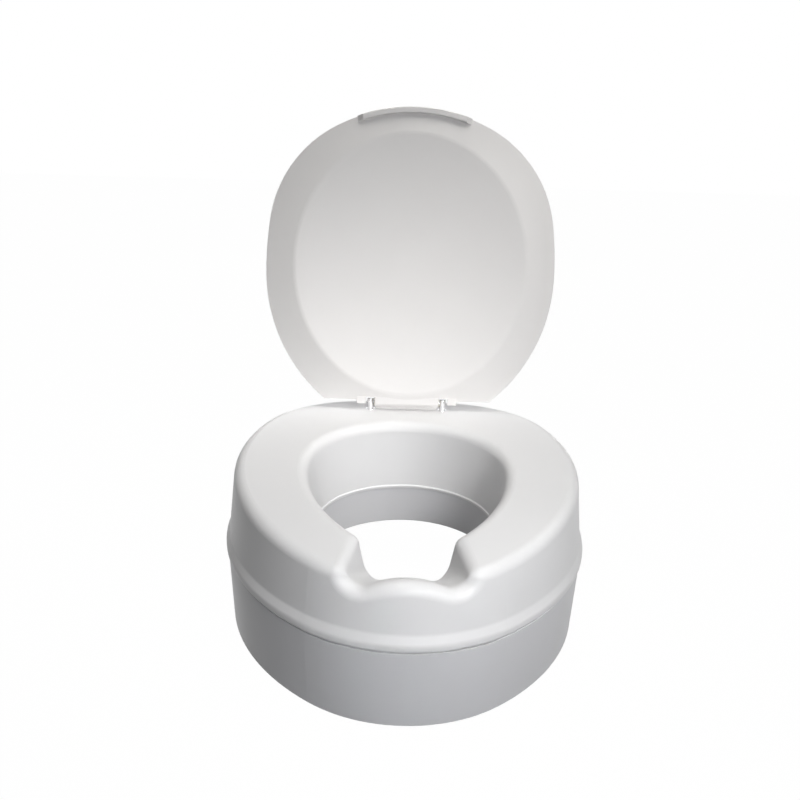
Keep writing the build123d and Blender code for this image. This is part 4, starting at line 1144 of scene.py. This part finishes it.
@dataclass
class RimPads:
    """Six curved rubber pads with rounded grip grooves, glued under the web."""

    inset: float = 0.029
    width: float = 0.022
    thickness: float = 0.006
    groove: float = 0.0012
    grooves: int = 3
    edge: float = 0.0012
    end_edge: float = 0.0022
    spacing: float = 0.002          # between stations along the arc
    samples: int = 48               # across the grooves
    spans: tuple[tuple[str, str, float, float], ...] = (
        ("front", "front", -80.0, -52.0), ("side", "side", -14.0, -1.0), ("rear", "rear", 58.0, 86.0))

    def section(self) -> list[tuple[float, float]]:
        """Closed outline across a pad: distance inwards and depth below the web."""
        line, samples = [(0.0, 0.0), (0.0, self.thickness - self.edge)], self.samples
        for step in range(1, 6):
            turn = math.pi / 2 * step / 5
            line.append((self.edge * (1 - math.cos(turn)), self.thickness - self.edge * (1 - math.sin(turn))))
        pitch = self.width / (self.grooves + 1)
        for step in range(1, samples):
            across = self.edge + (self.width - 2 * self.edge) * step / samples
            nearest = min(abs(across - pitch * (index + 1)) for index in range(self.grooves))
            dip = self.groove * 0.5 * (1 + math.cos(math.pi * min(nearest / self.groove, 1.0)))
            line.append((across, self.thickness - dip))
        for step in range(0, 6):
            turn = math.pi / 2 * (1 - step / 5)
            line.append((self.width - self.edge * (1 - math.cos(turn)),
                         self.thickness - self.edge * (1 - math.sin(turn))))
        return line + [(self.width, 0.0)]

    def pad(self, arc: tuple[Vector, float], start: float, end: float, side: int, top: float) -> bpy.types.Mesh:
        """One pad, swept along its arc with rounded ends.

        Args:
            arc: centre and radius of the body's arc.
            start: angle at one end, in degrees.
            end: angle at the other end.
            side: 1 for the right side, -1 for the left.
            top: height of the face under the web.
        """
        centre, radius = arc
        outline = self.section()
        mean = radius - self.inset - self.width / 2
        soft = math.degrees(self.end_edge / mean)
        ends = [(math.sin(math.pi / 2 * i / 6), soft * (1 - math.cos(math.pi / 2 * i / 6))) for i in range(7)]
        stations = [(start + shift, share) for share, shift in ends]
        count = max(8, round((end - start) * mean * math.pi / 180 / self.spacing))
        inner, outer = start + soft, end - soft
        stations += [(inner + (outer - inner) * i / count, 1.0) for i in range(1, count)]
        stations += [(end - shift, share) for share, shift in reversed(ends)]
        work, rows = bmesh.new(), []
        middle = self.width / 2
        for angle, share in stations:
            trim = self.end_edge * (1 - share)
            turn, row = math.radians(angle), []
            for across, drop in outline:
                flat = middle + (across - middle) * (1 - trim / middle)
                reach = radius - self.inset - flat
                deep = min(drop, self.thickness - trim) if drop > 0 else 0.0
                row.append(work.verts.new((side * (centre.x + reach * math.cos(turn)),
                                           centre.y + reach * math.sin(turn), top - deep)))
            rows.append(row)
        skin(work, zip(rows, rows[1:]))
        work.faces.new(rows[0])
        work.faces.new(reversed(rows[-1]))
        return finish_mesh(work, "pad", 50.0)

    def build(self, bench: Bench) -> None:
        """Make the six pads."""
        arcs = Outline().arcs()
        for label, arc, start, end in self.spans:
            for side, hand in ((-1, "left"), (1, "right")):
                node = f"rim_pad_{label}_{hand}"
                mesh = self.pad(arcs[arc], start, end, side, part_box(node)[1].z)
                bench.place(mesh, f"grooved_{node}", node)


@dataclass
class BracketFacings:
    """Ribbed rubber facings on the legs of the centring brackets."""

    thickness: float = 0.003
    width: float = 0.022
    backing: float = 0.0016
    ribs: int = 5
    rib_sink: float = 0.0004        # how deep the ribs sit in the backing
    rib_margin: float = 0.0012
    corner: float = 0.002
    edge_rows: tuple[tuple[float, float], ...] = ((0.0004, 0.0), (0.0001, 0.0002), (0.0, 0.0005))

    def facing(self, bench: Bench, height: float, rubber: bpy.types.Material) -> bpy.types.Mesh:
        """Facing that lies on the plane X = 0 with its ribs towards +X and its top at Z = 0.

        Args:
            bench: shared trees.
            height: height of the facing.
            rubber: its finish.
        """
        half, corner = self.width / 2, self.corner
        outline = []
        for x, y, start in ((half - corner, -corner, 0), (-half + corner, -corner, 90),
                            (-half + corner, -height + corner, 180), (half - corner, -height + corner, 270)):
            for step in range(7):
                turn = math.radians(start + 15 * step)
                outline.append((x + corner * math.cos(turn), y + corner * math.sin(turn)))
        work, rows = bmesh.new(), []
        for depth, trim in [(0.0, 0.0)] + [(self.backing - back, trim) for back, trim in self.edge_rows]:
            share = 1 - trim / half
            rows.append([work.verts.new((depth, y * share, -height / 2 + (z + height / 2) * share))
                         for y, z in outline])
        skin(work, zip(rows, rows[1:]))
        work.faces.new(rows[0])
        work.faces.new(rows[-1])
        plate = finish_mesh(work, "facing_plate", 40.0)
        radius = (self.thickness - self.backing + self.rib_sink) * 0.9
        reach = half - self.rib_margin
        ends = rounded([(0.0, -reach, 0.0), (radius, -reach, radius * 0.9), (radius, reach, radius * 0.9),
                        (0.0, reach, 0.0)], 6)
        bar = lathe("rib", ends, 16)
        bar.transform(Matrix.Rotation(math.pi / 2, 4, "X"))
        spacing = height / self.ribs
        depth = self.thickness - radius
        spots = [(Vector((depth, 0.0, -spacing * (index + 0.5))), 0.0) for index in range(self.ribs)]
        ribs = bench.scatter.spread("facing_ribs", bar, spots, rubber)
        return joined("facing", [(plate, Matrix()), (ribs, Matrix())])

    def build(self, bench: Bench, headings: Mapping[tuple[int, int], float]) -> None:
        """Make the four facings.

        Args:
            bench: nodes, finishes and trees.
            headings: outward heading of each bracket by the signs of its X and Y.
        """
        for row in ("front", "rear"):
            for hand in ("left", "right"):
                node = f"bracket_facing_{row}_{hand}"
                low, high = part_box(node)
                middle = (low + high) / 2
                heading = headings[quadrant(middle)]
                mesh = self.facing(bench, high.z - low.z, bench.finish_of(node))
                out = Vector((math.cos(heading), math.sin(heading), 0.0))
                back = Vector((middle.x, middle.y, high.z)) - out * (self.thickness / 2)
                mesh.transform(Matrix.Translation(back) @ Matrix.Rotation(heading, 4, "Z"))
                bench.place(mesh, f"ribbed_{node}", node)


def bracket_headings(joints: Sequence[Mapping[str, object]]) -> dict[tuple[int, int], float]:
    """Outward heading of each bracket, from the axis of its slide.

    Args:
        joints: the joints of the frame.

    Returns:
        Heading in radians by the signs of the bracket's X and Y.
    """
    headings = {}
    for joint in joints:
        if joint["type"] == "slide":
            axis = Vector(joint["axis"])
            headings[quadrant(axis)] = math.atan2(axis.y, axis.x)
    return headings


def main() -> None:
    """Build the scene."""
    logging.basicConfig(level=logging.INFO, format="%(name)s: %(message)s")
    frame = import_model()
    CameraPlan().build()
    Studio().build()
    slots = {row["node"]: row["material_slot"] for row in frame["record"]["subparts"]}
    bodies = {node: body for body, names in frame["record"]["behaviour"]["bodies"].items() for node in names}
    bench = Bench(frame["nodes"], slots, bodies, FinishLibrary(), ThreadTree(), ScatterTree())
    bench.dress()
    headings = bracket_headings(frame["joints"])
    HingeHardware().build(bench)
    ShellScrews().build(bench)
    BracketClamps().build(bench, headings)
    BracketFacings().build(bench, headings)
    RimPads().build(bench)
    LOG.info("built %d nodes", len(frame["nodes"]))


if __name__ == "__main__":
    main()
